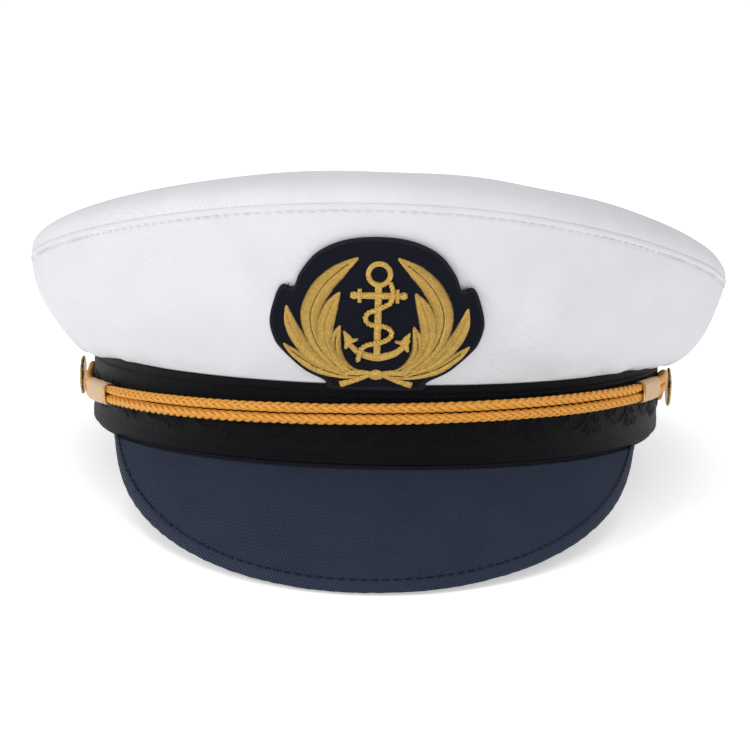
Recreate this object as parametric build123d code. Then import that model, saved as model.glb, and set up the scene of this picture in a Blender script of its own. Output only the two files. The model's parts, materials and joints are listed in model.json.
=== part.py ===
"""Peaked captain's cap: soft white crown, black braid band, visor, embroidered badge and chin cord.

Every piece is drawn in the worn frame: Z up the wearer's head, -Y to the front, origin at the centre of
the band's lower rim. place() then stands the cap on its visor and the back of its band, with the floor
at z = 0 and the origin under the middle of its bounding box. Sizes are in millimetres.
"""

from build123d import *
from math import acos, asin, atan2, cos, degrees, hypot, pi, radians, sin, tan
import os

# --- driving dimensions -----------------------------------------------------------------------------
SIDE_RADIUS, SIDE_CENTRE = 110.0, 20.0      # four-arc head oval: side arcs, centred at x = -+20
END_RADIUS, END_CENTRE = 85.0, 15.0         # front and back arcs, centred at y = -+15
SIDE_HALF_ANGLE = degrees(atan2(3, 4))      # the arcs meet on a 3-4-5 triangle

BAND_HEIGHT = 25.0
# Layers of the wall as (inner, outer) offsets from the head oval.
SWEATBAND = (-2.9, -1.9)
STIFFENER = (-0.6, 0.8)
BAND_COVER = (0.85, 1.6)
BRAID = (1.65, 3.0)
SWEATBAND_TOP = 30.0
SEAM_STEP = 0.05                            # gap between sewn faces

CROWN_HALF_WIDTH, CROWN_HALF_LENGTH, CROWN_SHIFT = 113.6, 125.0, 3.0
SEAM_MEAN, SEAM_RISE, SEAM_SADDLE = 55.7, 18.4, 4.7   # seam height = mean + rise cos u + saddle cos 2u
DOME_HEIGHT, DOME_POWER = 17.8, 2.6
FRONT_BULGE = 0.3                           # 0 is a straight front wall, 1 a quarter ellipse
CROWN_THICK, STAY_INSETS, LINING_INSETS = 1.2, (1.4, 2.2), (2.4, 2.9)
SIDE_LEVELS = (0, 0.15, 0.32, 0.5, 0.68, 0.85, 0.995)     # lines round the crown, as in crown_point
TOP_LEVELS = (1.0, 1.07, 1.17, 1.3, 1.48, 1.7, 1.9)
STAY_REACH = 0.62                           # radians round from the middle of the front
SIDE_SEAM_Y = 22.0

VISOR_SLOPE = 38.5
VISOR_HALF_WIDTH, VISOR_HALF_LENGTH, VISOR_CENTRE = 83.65, 115.75, -20.0
VISOR_COVER, VISOR_CORE, VISOR_BINDING = 0.5, 1.8, 1.4
VISOR_THICK = VISOR_COVER + VISOR_CORE + VISOR_COVER
VISOR_DROP = 45.0                           # deeper than the visor's lowest edge

CORD_RADIUS, STRAND_SPACING, CORD_OFFSET = 1.4, 2.9, 5.6
BUTTON_HEIGHT = 12.6                        # of the button axis above the rim
STRAP_RISE, STRAP_PITCH, STRAP_ROLL = 2.3, 1.1, 1.5   # above the buttons; up to the front; up to +X
LOOP_START = 8.5                            # degrees forward of the button where the strands part
LOOP_RADIUS, LOOP_LEAN, LOOP_X = 3.6, 1.1, 94.65
KEEPER_SPANS = {"right": (21.3, 28.3), "left": (18.3, 27.2)}   # degrees forward of the button
BUTTON_RADIUS, BUTTON_BACK, BUTTON_DOME = 6.4, 96.4, 1.4
SHANK_RADIUS, SHANK_CLEARANCE = 1.25, 0.1

BADGE_THICK, STITCH_HEIGHT = 1.0, 0.8
BADGE_BEND = (93.0, 128.0)                  # bend of the crown's front across its foot and its top

BIG = 400.0


# --- helpers ----------------------------------------------------------------------------------------
def oval_face(offset, z=0.0):
    """The head oval, moved outwards by offset, as a level face at height z."""
    side, end = SIDE_RADIUS + offset, END_RADIUS + offset
    half, rest = SIDE_HALF_ANGLE, 90 - SIDE_HALF_ANGLE
    arcs = [
        CenterArc((-SIDE_CENTRE, 0), side, -half, 2 * half),
        CenterArc((0, END_CENTRE), end, half, 2 * rest),
        CenterArc((SIDE_CENTRE, 0), side, 180 - half, 2 * half),
        CenterArc((0, -END_CENTRE), end, 180 + half, 2 * rest),
    ]
    return Pos(0, 0, z) * make_face(arcs)


def oval_ring(offsets, z0, z1):
    """A wall between two offsets of the oval, from z0 up to z1."""
    inner, outer = offsets
    return extrude(oval_face(outer, z0) - oval_face(inner, z0), z1 - z0)


def box_between(low, high):
    size = [b - a for a, b in zip(low, high)]
    centre = [(a + b) / 2 for a, b in zip(low, high)]
    return Pos(*centre) * Box(*size)


def mirrored(shape):
    return mirror(shape, about=Plane.YZ)


# --- crown ------------------------------------------------------------------------------------------
def seam_height(u):
    """Height of the seam round the top panel, u being the angle round from the front."""
    return SEAM_MEAN + SEAM_RISE * cos(u) + SEAM_SADDLE * cos(2 * u)


def crown_point(u, v):
    """The crown's outer skin: u is the angle round from the front, v is 0 at the band, 1 at the seam
    round the top and 2 at the middle of the top panel."""
    edge_x, edge_y = CROWN_HALF_WIDTH * sin(u), -CROWN_HALF_LENGTH * cos(u)
    if v > 1:
        reach = cos((v - 1) * pi / 2)
        height = SEAM_MEAN + SEAM_RISE * reach * cos(u) + SEAM_SADDLE * reach**2 * cos(2 * u)
        height += DOME_HEIGHT * (1 - reach**DOME_POWER) ** (1 / DOME_POWER)
        return Vector(edge_x * reach, CROWN_SHIFT + edge_y * reach, height)
    bulge = 1 - (1 - FRONT_BULGE) * ((1 + cos(u)) / 2) ** 3
    out = (1 - bulge) * v + bulge * sin(v * pi / 2)
    up = (1 - bulge) * v + bulge * (1 - cos(v * pi / 2))
    base = band_top_point(u, 0)
    seam = Vector(edge_x, CROWN_SHIFT + edge_y, seam_height(u))
    return Vector(
        base.X + (seam.X - base.X) * out, base.Y + (seam.Y - base.Y) * out, base.Z + (seam.Z - base.Z) * up
    )


def band_top_point(u, inset):
    """Where the crown meets the top of the band, inset from its skin."""
    half_width = SIDE_RADIUS - SIDE_CENTRE + BRAID[1] - 0.2 - 1.2 * inset
    half_length = END_RADIUS + END_CENTRE + BRAID[1] - 0.2 - 1.2 * inset
    return Vector(half_width * sin(u), -half_length * cos(u), BAND_HEIGHT + SEAM_STEP)


def inset_point(u, v, inset):
    """The crown's skin moved inwards along its normal."""
    if v == 0:
        return band_top_point(u, inset)
    step = 0.01
    along = crown_point(u + step, v) - crown_point(u - step, v)
    upward = crown_point(u, v + step) - crown_point(u, v - step)
    return crown_point(u, v) - along.cross(upward).normalized() * inset


def flattened(ring):
    """A closed ring of points brought into the plane through its front and back."""
    front, back = ring[0], ring[len(ring) // 2]
    slope = (front.Z - back.Z) / (front.Y - back.Y)
    return [Vector(p.X, p.Y, front.Z + slope * (p.Y - front.Y)) for p in ring]


def level_curve(u_range, v, inset):
    """One line round the crown: closed if u_range is None, else from one angle to the other."""
    if u_range is None:
        ring = [inset_point(2 * pi * k / 24, v, inset) for k in range(24)]
        return Spline(*(flattened(ring) if v == TOP_LEVELS[-1] else ring), periodic=True)
    count = max(6, round((u_range[1] - u_range[0]) / 0.3))
    steps = [u_range[0] + (u_range[1] - u_range[0]) * k / count for k in range(count + 1)]
    return Spline(*[inset_point(u, v, inset) for u in steps])


def ruled_strips(curves):
    return [Face.make_surface_from_curves(a, b) for a, b in zip(curves, curves[1:])]


def panel(u_range, levels, insets):
    """A sewn sheet of the crown between two insets of its skin, in ruled strips from level to level."""
    outer, inner = [[level_curve(u_range, v, inset) for v in levels] for inset in insets]
    faces = ruled_strips(outer) + ruled_strips(inner) + ruled_strips([outer[0], inner[0]])
    if levels[-1] == TOP_LEVELS[-1]:
        faces += [Face(Wire([outer[-1]])), Face(Wire([inner[-1]]))]
    else:
        faces += ruled_strips([outer[-1], inner[-1]])
    for end in (0, 1) if u_range else ():
        edges = [[Line(a @ end, b @ end) for a, b in zip(curves, curves[1:])] for curves in (outer, inner)]
        faces += [Face.make_surface_from_curves(a, b) for a, b in zip(*edges)]
    return Solid(Shell(faces))


def crown_parts():
    seam_u = pi / 2 + asin((SIDE_SEAM_Y - CROWN_SHIFT) / CROWN_HALF_LENGTH)
    gap = SEAM_STEP / CROWN_HALF_LENGTH
    shell = (0, CROWN_THICK)
    return {
        "crown_top_panel": panel(None, TOP_LEVELS, shell),
        "crown_front_panel": panel((-seam_u, seam_u), SIDE_LEVELS, shell),
        "crown_back_panel": panel((seam_u + gap, 2 * pi - seam_u - gap), SIDE_LEVELS, shell),
        "crown_front_stay": panel((-STAY_REACH, STAY_REACH), SIDE_LEVELS[1:-1], STAY_INSETS),
        "crown_lining_top": panel(None, TOP_LEVELS, LINING_INSETS),
        "crown_lining_side": panel(None, SIDE_LEVELS, LINING_INSETS),
    }


# --- band -------------------------------------------------------------------------------------------
def button_bore(radius):
    """A bore through both sides of the wall, on the button axis."""
    return Pos(0, 0, BUTTON_HEIGHT) * Rot(0, 90, 0) * Cylinder(radius, BIG)


def band_parts():
    bore = button_bore(SHANK_RADIUS + SHANK_CLEARANCE)
    rim = 0.7
    cover = oval_ring(BAND_COVER, 0, BAND_HEIGHT - 0.6) + oval_ring((STIFFENER[0], BAND_COVER[1]), 0, rim)
    return {
        "sweatband": oval_ring(SWEATBAND, 0.6, SWEATBAND_TOP),
        "band_stiffener": oval_ring(STIFFENER, rim + SEAM_STEP, BAND_HEIGHT) - bore,
        "band_cover": cover - bore,
        "band_braid": oval_ring(BRAID, 1.3, BAND_HEIGHT) - bore,
        "band_rim_tape": oval_ring((SWEATBAND[1] + 0.05, STIFFENER[0] - 0.05), 0.6, 4.0),
    }


# --- visor ------------------------------------------------------------------------------------------
def visor_body(depth):
    """Everything under the visor's upper face, once that face has sunk by depth. The face is the band's
    lower edge carried forwards and down; moving it partly inwards and partly square to its middle keeps
    the layers even out to the corners."""
    slope = radians(VISOR_SLOPE)
    direction = Vector(0, -cos(slope), -sin(slope))
    inward, sunk = 0.803 * depth, 0.463 * depth
    footprint = Pos(0, sin(slope) * sunk, -cos(slope) * sunk) * oval_face(BRAID[1] - inward)
    reach = 30.0
    lifted = Pos(*(-direction * reach)) * footprint
    return extrude(lifted, 110 + reach, dir=direction)


def visor_outline(inset):
    """The visor's edge seen from above, as a tall elliptic block cut off behind its corners."""
    ellipse = Ellipse(VISOR_HALF_WIDTH - inset, VISOR_HALF_LENGTH - inset)
    block = extrude(Pos(0, VISOR_CENTRE, -VISOR_DROP) * ellipse, VISOR_DROP - SEAM_STEP)
    return block & box_between((-BIG, -BIG, -VISOR_DROP), (BIG, VISOR_CENTRE, 0))


def visor_parts():
    inner, outer = visor_outline(VISOR_BINDING), visor_outline(0)
    inner_with_gap = visor_outline(VISOR_BINDING - SEAM_STEP)
    depths = [0, VISOR_COVER, VISOR_COVER + VISOR_CORE, VISOR_THICK]
    bodies = [visor_body(d) for d in depths]
    names = ["visor_top_cover", "visor_core", "visor_under_cover"]
    parts = {name: (bodies[k] - bodies[k + 1]) & inner for k, name in enumerate(names)}
    proud = 0.2
    binding = (visor_body(-proud) - visor_body(VISOR_THICK + proud)) & (outer - inner_with_gap)
    parts["visor_edge_binding"] = binding
    return parts


# --- badge ------------------------------------------------------------------------------------------
def badge_layer(clear, thick):
    """A shell that follows the front of the crown: an upright arc turned about a leaning axis."""
    def arc_point(level, inset):
        return inset_point(0, level, inset)

    low, mid, high = 0.02, 0.5, 0.97
    inner = [arc_point(level, -clear) for level in (low, mid, high)]
    outer = [arc_point(level, -clear - thick) for level in (low, mid, high)]
    profile = make_face([
        ThreePointArc(*inner), Line(inner[2], outer[2]), ThreePointArc(*reversed(outer)), Line(outer[0], inner[0]),
    ])
    low_centre = inner[0] + (inner[0] - outer[0]).normalized() * BADGE_BEND[0]
    high_centre = inner[2] + (inner[2] - outer[2]).normalized() * BADGE_BEND[1]
    axis = Axis(low_centre, high_centre - low_centre)
    return revolve(profile, axis, 44) + revolve(profile, axis, -44)


def badge_outline():
    """Rounded shield with two ears and a tab, in x and height above the band, y pointing up."""
    right = [
        ThreePointArc((0, 44.3), (13.2, 40.6), (23.3, 29.1)),
        Line((23.3, 29.1), (26.9, 29.9)),
        ThreePointArc((26.9, 29.9), (30.0, 20.4), (25.1, 9.2)),
        ThreePointArc((25.1, 9.2), (20.0, 5.4), (13.3, 3.4)),
        Line((13.3, 3.4), (12.4, 0.3)),
        Line((12.4, 0.3), (0, 0.3)),
    ]
    return make_face(right + [mirror(edge, about=Plane.YZ) for edge in right])


def leaf(root, tip, bow, width):
    """A pointed leaf from root to tip, bowed sideways, as two arcs."""
    (x0, y0), (x1, y1) = root, tip
    length = hypot(x1 - x0, y1 - y0)
    side = ((y0 - y1) / length, (x1 - x0) / length)
    middle = ((x0 + x1) / 2, (y0 + y1) / 2)
    outer = [middle[k] + side[k] * (bow + width / 2) for k in (0, 1)]
    inner = [middle[k] + side[k] * (bow - width / 2) for k in (0, 1)]
    return make_face([ThreePointArc(root, tuple(outer), tip), ThreePointArc(tip, tuple(inner), root)])


# Left branch of the wreath: root, tip, bow to the left of the growing direction, and width.
LEAVES = [
    ((-17.0, 9.5), (-5.8, 38.0), 6.4, 5.2),
    ((-14.5, 8.0), (-10.6, 28.4), 1.5, 4.2),
    ((-12.0, 6.2), (-10.4, 19.0), 1.2, 3.0),
    ((-16.5, 8.5), (-25.3, 24.2), 1.2, 3.6),
    ((-14.0, 6.0), (-25.5, 13.9), -0.6, 3.2),
]
STEM = ((-19.0, 9.8), (-10.5, 5.8), (-2.1, 5.2))
STEM_END = ((-2.8, 4.6), (-9.4, 2.7))
KNOT = (3.8, 4.4)                           # width and height of the tie where the stems cross


def bar(start, end, width):
    """A straight stroke with round ends."""
    length = hypot(end[0] - start[0], end[1] - start[1])
    angle = degrees(atan2(end[1] - start[1], end[0] - start[0]))
    middle = ((start[0] + end[0]) / 2, (start[1] + end[1]) / 2)
    return Pos(*middle) * Rot(0, 0, angle) * SlotOverall(length + width, width)


def wreath_face():
    """The left branch: leaves fanned from a curved stem."""
    face = leaf(*LEAVES[0])
    for row in LEAVES[1:]:
        face += leaf(*row)
    stroke = trace(ThreePointArc(*STEM), 1.8)
    return face + stroke + bar(*STEM_END, 1.0)


def anchor_face(margin=0.0):
    """A plain anchor: ring, stock with collars, shank and two flukes, all made wider by margin."""
    ring = Pos(0.3, 34.1) * (Circle(3.7 + margin) - Circle(2.3 - margin))
    stock = bar((-6.6, 28.2), (7.3, 28.2), 1.7 + margin)
    collars = bar((-5.0, 27.0), (-5.0, 29.4), 1.1) + bar((5.6, 27.0), (5.6, 29.4), 1.1)
    shank = Pos(0.2, 21.2) * Rectangle(1.9 + 2 * margin, 22.0)
    arms = trace(ThreePointArc((-7.7, 14.8), (0.1, 10.6), (8.0, 14.8)), 1.6 + margin)
    fluke = make_face(Polyline((-9.0, 18.0), (-5.4, 14.9), (-9.2, 13.6), (-9.0, 18.0)))
    point = make_face(Polyline((-1.2, 11.2), (1.6, 11.2), (0.2, 9.4), (-1.2, 11.2)))
    right_fluke = Pos(0.3, 0) * mirror(fluke, about=Plane.YZ)
    return ring + stock + collars + shank + arms + fluke + right_fluke + point


ROPE = [(3.4, 33.0), (4.2, 29.0), (1.5, 24.0), (-2.8, 22.0), (-1.0, 19.6), (3.6, 18.8),
        (3.4, 16.4), (-1.5, 14.8), (-4.4, 13.2), (-5.2, 10.2)]


def badge_parts():
    felt_clear = 0.5
    felt_layer = badge_layer(felt_clear, BADGE_THICK)
    stitch_layer = badge_layer(felt_clear + BADGE_THICK + SEAM_STEP, STITCH_HEIGHT)

    def pressed(face, layer):
        upright = Pos(0, -150, BAND_HEIGHT) * Rot(90, 0, 0) * face
        return extrude(upright, 90, dir=(0, 1, 0)) & layer

    wreath, anchor = wreath_face(), anchor_face()
    rope = trace(Spline(*ROPE), 0.9) - anchor_face(0.3)
    knot = Pos(0, 4.8) * RectangleRounded(KNOT[0], KNOT[1], 1.5)
    return {
        "badge_felt": pressed(badge_outline(), felt_layer),
        "badge_wreath_left": pressed(wreath, stitch_layer),
        "badge_wreath_right": pressed(mirrored(wreath), stitch_layer),
        "badge_anchor": pressed(anchor, stitch_layer),
        "badge_rope": pressed(rope, stitch_layer),
        "badge_knot": pressed(knot, stitch_layer),
    }


# --- chin cord, keepers and buttons ------------------------------------------------------------------
def on_strap(shape):
    """Carries a shape from the strap's own plane to its place on the band."""
    return Pos(0, 0, BUTTON_HEIGHT + STRAP_RISE) * Rot(-STRAP_PITCH, -STRAP_ROLL, 0) * shape


def strand(z):
    """One strand of the cord, along the side and front arcs, from loop to loop."""
    side, end = SIDE_RADIUS + CORD_OFFSET, END_RADIUS + CORD_OFFSET
    half, run = SIDE_HALF_ANGLE, SIDE_HALF_ANGLE - LOOP_START
    path = Wire([
        CenterArc((SIDE_CENTRE, 0, z), side, 180 + LOOP_START, run),
        CenterArc((0, -END_CENTRE, z), end, 180 + half, 180 - 2 * half),
        CenterArc((-SIDE_CENTRE, 0, z), side, -half, run),
    ])
    return sweep(Plane(path @ 0, z_dir=path % 0) * Circle(CORD_RADIUS), path)


def loop(side_sign):
    """The cord's turn round a shank, drawn on the +X side, in an upright plane that leans out a little:
    two straight legs from the strands' ends, tangent to the turn."""
    radius = SIDE_RADIUS + CORD_OFFSET
    reach = radius * sin(radians(LOOP_START))
    plane = Plane(
        (LOOP_X, 0, BUTTON_HEIGHT),
        x_dir=(sin(radians(LOOP_LEAN)), cos(radians(LOOP_LEAN)), 0),
        z_dir=(cos(radians(LOOP_LEAN)), -sin(radians(LOOP_LEAN)), 0),
    )
    end_x = side_sign * (radius * cos(radians(LOOP_START)) - SIDE_CENTRE)
    rise = STRAP_RISE + reach * sin(radians(STRAP_PITCH)) + end_x * sin(radians(STRAP_ROLL))

    def leg(edge):
        """The leg's start and the point where it touches the turn; edge is 1 above, -1 below."""
        x, y = -reach, rise + edge * STRAND_SPACING / 2
        touch = atan2(y, x) % (2 * pi) - edge * acos(LOOP_RADIUS / hypot(x, y))
        return (x, y), (LOOP_RADIUS * cos(touch), LOOP_RADIUS * sin(touch))

    upper, upper_touch = leg(1)
    lower, lower_touch = leg(-1)
    path = Wire([
        Line(upper, upper_touch),
        ThreePointArc(upper_touch, (LOOP_RADIUS, 0), lower_touch),
        Line(lower_touch, lower),
    ])
    path = plane.from_local_coords(path)
    return sweep(Plane(path @ 0, z_dir=path % 0) * Circle(CORD_RADIUS), path)


def keeper_tube(inner, outer, span):
    """A rounded tube round both strands, bent with the side arc. inner and outer are (half width,
    half height, corner radius); span is in degrees forward of the button."""
    def outline(half_width, half_height, corner):
        return RectangleRounded(2 * half_width, 2 * half_height, corner)

    start, radius = radians(span[0]), SIDE_RADIUS + CORD_OFFSET
    spoke = (cos(start), -sin(start), 0)
    origin = (radius * spoke[0] - SIDE_CENTRE, radius * spoke[1], 0)
    profile = Plane(origin, x_dir=spoke, z_dir=(sin(start), cos(start), 0)) * (outline(*outer) - outline(*inner))
    return revolve(profile, Axis((-SIDE_CENTRE, 0, 0), (0, 0, -1)), span[1] - span[0])


def keeper_parts(span):
    """A brass liner with a turned-out rim at each end, and the cloth sleeve round it."""
    bore_width, bore_height = CORD_RADIUS + 0.05, STRAND_SPACING / 2 + CORD_RADIUS + 0.05

    def grown(t):
        return (bore_width + t, bore_height + t, bore_width - 0.1 + t)

    wall, rim, sleeve = 0.18, 0.3, (0.22, 0.52)
    first, last = span
    liner = keeper_tube(grown(0), grown(wall), span)
    for ends in ((first - rim, first), (last, last + rim)):
        liner += keeper_tube(grown(0), grown(sleeve[1] - 0.1), ends)
    slack = 0.03
    return {
        "keeper_liner": liner,
        "keeper_sleeve": keeper_tube(grown(sleeve[0]), grown(sleeve[1]), (first + slack, last - slack)),
    }


def button_parts():
    """The right-hand button with its shank, and the washer inside the wall."""
    def on_axis(x):
        return Pos(x, 0, BUTTON_HEIGHT) * Rot(0, 90, 0)

    skirt = 0.5
    sphere_radius = (BUTTON_RADIUS**2 + BUTTON_DOME**2) / (2 * BUTTON_DOME)
    cap = Sphere(sphere_radius) & Pos(0, 0, sphere_radius - BUTTON_DOME / 2) * Cylinder(BUTTON_RADIUS, BUTTON_DOME)
    dome = on_axis(BUTTON_BACK + skirt + BUTTON_DOME - sphere_radius) * cap
    disc = on_axis(BUTTON_BACK + skirt / 2) * Cylinder(BUTTON_RADIUS, skirt)
    clench, clench_radius, washer_radius = 0.5, 2.2, 4.0
    foot = SIDE_RADIUS - SIDE_CENTRE + STIFFENER[0] - 0.65
    shank = on_axis((foot + BUTTON_BACK) / 2) * Cylinder(SHANK_RADIUS, BUTTON_BACK - foot)
    shank += on_axis(foot - clench / 2) * Cylinder(clench_radius, clench)
    ring = Cylinder(washer_radius, 0.4) - Cylinder(SHANK_RADIUS + SHANK_CLEARANCE, 0.4)
    return {"button": dome + disc, "shank": shank, "washer": on_axis(foot + 0.3) * ring}


def strap_parts():
    parts = {
        "chin_cord_upper": on_strap(strand(STRAND_SPACING / 2)),
        "chin_cord_lower": on_strap(strand(-STRAND_SPACING / 2)),
    }
    for side, sign in (("right", 1), ("left", -1)):
        def seen_from_side(shape):
            return shape if sign > 0 else mirrored(shape)

        parts[f"{side}_chin_loop"] = seen_from_side(loop(sign))
        for name, shape in keeper_parts(KEEPER_SPANS[side]).items():
            parts[f"{side}_{name}"] = on_strap(seen_from_side(shape))
        for name, shape in button_parts().items():
            parts[f"{side}_{name}"] = seen_from_side(shape)
    return parts


# --- standing pose and export -----------------------------------------------------------------------
def rest_tilt():
    """Degrees that the cap leans back once its visor tip and the back of its band are on the floor."""
    tip = Vector(0, VISOR_CENTRE - VISOR_HALF_LENGTH, 0)
    tip.Z = (tip.Y + END_RADIUS + END_CENTRE + BRAID[1]) * tan(radians(VISOR_SLOPE))
    tip.Z -= (VISOR_THICK + 0.2) / cos(radians(VISOR_SLOPE))
    heel = END_RADIUS + END_CENTRE + BAND_COVER[1]
    return degrees(atan2(-tip.Z, heel - tip.Y))


def build():
    return crown_parts() | band_parts() | visor_parts() | badge_parts() | strap_parts()


def placement(parts):
    """Where the worn frame stands: tilted back, its lowest point on z = 0 and its box centred."""
    tilted = [Rot(-rest_tilt(), 0, 0) * shape for shape in parts.values()]
    boxes = [shape.bounding_box() for shape in tilted]
    front, back = min(b.min.Y for b in boxes), max(b.max.Y for b in boxes)
    floor = min(b.min.Z for b in boxes)
    return Pos(0, -(front + back) / 2, -floor) * Rot(-rest_tilt(), 0, 0)


if __name__ == "__main__":
    os.makedirs("parts", exist_ok=True)
    worn = build()
    stand = placement(worn)
    for name, shape in worn.items():
        export_step(stand * shape, f"parts/{name}.step")
    print("nodes", len(worn), "placement", stand)
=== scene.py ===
import json
import math

import bmesh
import bpy
import numpy as np
from mathutils import Matrix, Vector

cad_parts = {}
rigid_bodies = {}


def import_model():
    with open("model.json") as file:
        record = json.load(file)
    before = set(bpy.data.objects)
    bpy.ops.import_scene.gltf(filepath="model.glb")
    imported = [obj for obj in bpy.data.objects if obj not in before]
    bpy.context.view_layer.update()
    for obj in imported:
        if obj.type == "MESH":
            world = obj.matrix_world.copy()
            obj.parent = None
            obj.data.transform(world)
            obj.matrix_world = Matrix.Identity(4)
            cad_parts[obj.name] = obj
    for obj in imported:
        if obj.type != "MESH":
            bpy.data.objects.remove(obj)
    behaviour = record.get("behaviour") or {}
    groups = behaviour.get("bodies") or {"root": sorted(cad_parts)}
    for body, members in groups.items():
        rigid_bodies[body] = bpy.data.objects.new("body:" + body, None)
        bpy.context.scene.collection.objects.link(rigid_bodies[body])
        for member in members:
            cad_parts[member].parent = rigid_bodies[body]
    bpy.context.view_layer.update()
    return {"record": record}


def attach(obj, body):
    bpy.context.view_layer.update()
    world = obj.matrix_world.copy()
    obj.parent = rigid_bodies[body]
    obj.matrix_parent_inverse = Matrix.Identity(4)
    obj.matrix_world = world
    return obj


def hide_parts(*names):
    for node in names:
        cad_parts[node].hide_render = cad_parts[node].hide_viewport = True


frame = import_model()

# --- the worn frame: mm, Z up the wearer's head, -Y to the front, origin in the band's lower rim ------
OPENING = next(m for m in frame["record"]["mounts"] if m["name"] == "head_opening")
ORIGIN = np.array(OPENING["pos_m"])
UP = -np.array(OPENING["axis"])
RIGHT = np.array([1.0, 0.0, 0.0])
BACK = np.cross(UP, RIGHT)
AXES = np.array([RIGHT, BACK, UP])

SIDE_RADIUS, SIDE_CENTRE = 110.0, 20.0
END_RADIUS, END_CENTRE = 85.0, 15.0
SPLIT = math.atan2(4, 3)                    # where the end arcs hand over to the side arcs
BAND_TOP = 25.0
BRAID_FACE = 3.0                            # offset of the braid's outer face from the head oval
CROWN_WIDTH, CROWN_LENGTH, CROWN_SHIFT = 113.6, 125.0, 3.0
SEAM_MEAN, SEAM_RISE, SEAM_SADDLE = 55.7, 18.4, 4.7
DOME_HEIGHT, DOME_POWER, FRONT_BULGE = 17.8, 2.6, 0.3
SLUMP = 4.0                                 # the soft crown hangs lower on the +X side
DROOP = 4.6                                 # how far its sides sag over the band before they turn up
CROWN_CLOTH = 1.0                           # thickness of its cloth
VISOR_SLOPE = math.radians(38.5)
VISOR_WIDTH, VISOR_LENGTH, VISOR_CENTRE, VISOR_THICK = 83.65, 116.1, -20.0, 2.8
BUTTON_HEIGHT, BUTTON_BACK = 12.6, 96.4
STRAP_RISE, STRAP_PITCH, STRAP_ROLL = 2.3, math.radians(1.1), math.radians(1.5)
CORD_OFFSET, STRAND_SPACING, LOOP_START = 5.6, 2.9, math.radians(8.5)
LOOP_RADIUS, LOOP_LEAN, LOOP_X = 3.6, math.radians(1.9), 94.0
KEEPER_SPANS = {"right": (21.3, 28.3), "left": (18.3, 27.2)}   # degrees forward of the side

MM = 0.001


def world(points):
    """Worn-frame millimetres to scene metres."""
    return ORIGIN + MM * (np.asarray(points, float) @ AXES)


def unit(v):
    return v / np.maximum(np.linalg.norm(v, axis=-1, keepdims=True), 1e-12)


def smoothstep(x, low, high):
    t = np.clip((x - low) / (high - low), 0, 1)
    return t * t * (3 - 2 * t)


def bump(x, centre, width):
    return np.exp(-(((x - centre) / width) ** 2))


def ripple(seed, short, long, count=14):
    """A smooth random field of x and y, about -1 to 1, with waves between two lengths."""
    draw = np.random.default_rng(seed)
    heading = draw.uniform(0, 2 * math.pi, count)
    rate = 2 * math.pi / draw.uniform(short, long, count)
    phase = draw.uniform(0, 2 * math.pi, count)

    def field(x, y=0.0):
        x, y = np.broadcast_arrays(np.asarray(x, float), np.asarray(y, float))
        waves = zip(heading, rate, phase)
        total = sum(np.sin(r * (x * math.cos(h) + y * math.sin(h)) + p) for h, r, p in waves)
        return total / math.sqrt(count)

    return field


# --- meshes -----------------------------------------------------------------------------------------
def mesh_piece(name, points, faces, uv, material, body, slot, replaces=()):
    """A mesh object from worn-frame points and arrays of faces; uv holds one pair for each face corner,
    in mm, in the order of the faces."""
    mesh = bpy.data.meshes.new(name)
    points = world(points)
    corners = np.concatenate([f.ravel() for f in faces])
    sizes = np.concatenate([np.full(len(f), f.shape[1]) for f in faces])
    mesh.vertices.add(len(points))
    mesh.vertices.foreach_set("co", points.ravel())
    mesh.loops.add(len(corners))
    mesh.loops.foreach_set("vertex_index", corners.astype(np.int32))
    mesh.polygons.add(len(sizes))
    mesh.polygons.foreach_set("loop_start", np.concatenate([[0], np.cumsum(sizes)[:-1]]).astype(np.int32))
    mesh.polygons.foreach_set("use_smooth", np.full(len(sizes), True))
    layer = mesh.uv_layers.new(name="Cloth")
    layer.data.foreach_set("uv", np.asarray(uv, float).ravel())
    mesh.update(calc_edges=True)
    mesh.materials.append(material)
    piece = bpy.data.objects.new(name, mesh)
    bpy.context.scene.collection.objects.link(piece)
    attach(piece, body)
    if replaces:
        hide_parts(*replaces)
    return piece


def grid_faces(nu, nv, closed_u, closed_v):
    """Quads of a grid of points, and the row and column of each corner without wrapping round."""
    spans = [np.arange(n if closed else n - 1) for n, closed in ((nu, closed_u), (nv, closed_v))]
    i, j = np.meshgrid(*spans, indexing="ij")
    rows = np.stack([i, i + 1, i + 1, i], -1).reshape(-1, 4)
    columns = np.stack([j, j, j + 1, j + 1], -1).reshape(-1, 4)
    return (rows % nu) * nv + columns % nv, rows, columns


def grid_piece(name, points, closed, uv, *args, flip=False, **options):
    """A piece from a grid of points (nu, nv, 3); uv is a grid with one more row or column where closed."""
    nu, nv = points.shape[:2]
    quads, rows, columns = grid_faces(nu, nv, *closed)
    if flip:
        quads, rows, columns = quads[:, ::-1], rows[:, ::-1], columns[:, ::-1]
    return mesh_piece(name, points.reshape(-1, 3), [quads], uv[rows, columns], *args, **options)


def wrapped(values, closed):
    """Repeats the first row or column at the end, for the uv grid of a closed surface."""
    for axis, is_closed in enumerate(closed):
        if is_closed:
            values = np.concatenate([values, values.take([0], axis)], axis)
    return values


def grid_normals(points, closed_u):
    if closed_u:
        along = np.roll(points, -1, 0) - np.roll(points, 1, 0)
    else:
        along = np.gradient(points, axis=0)
    return unit(np.cross(along, np.gradient(points, axis=1)))


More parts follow.
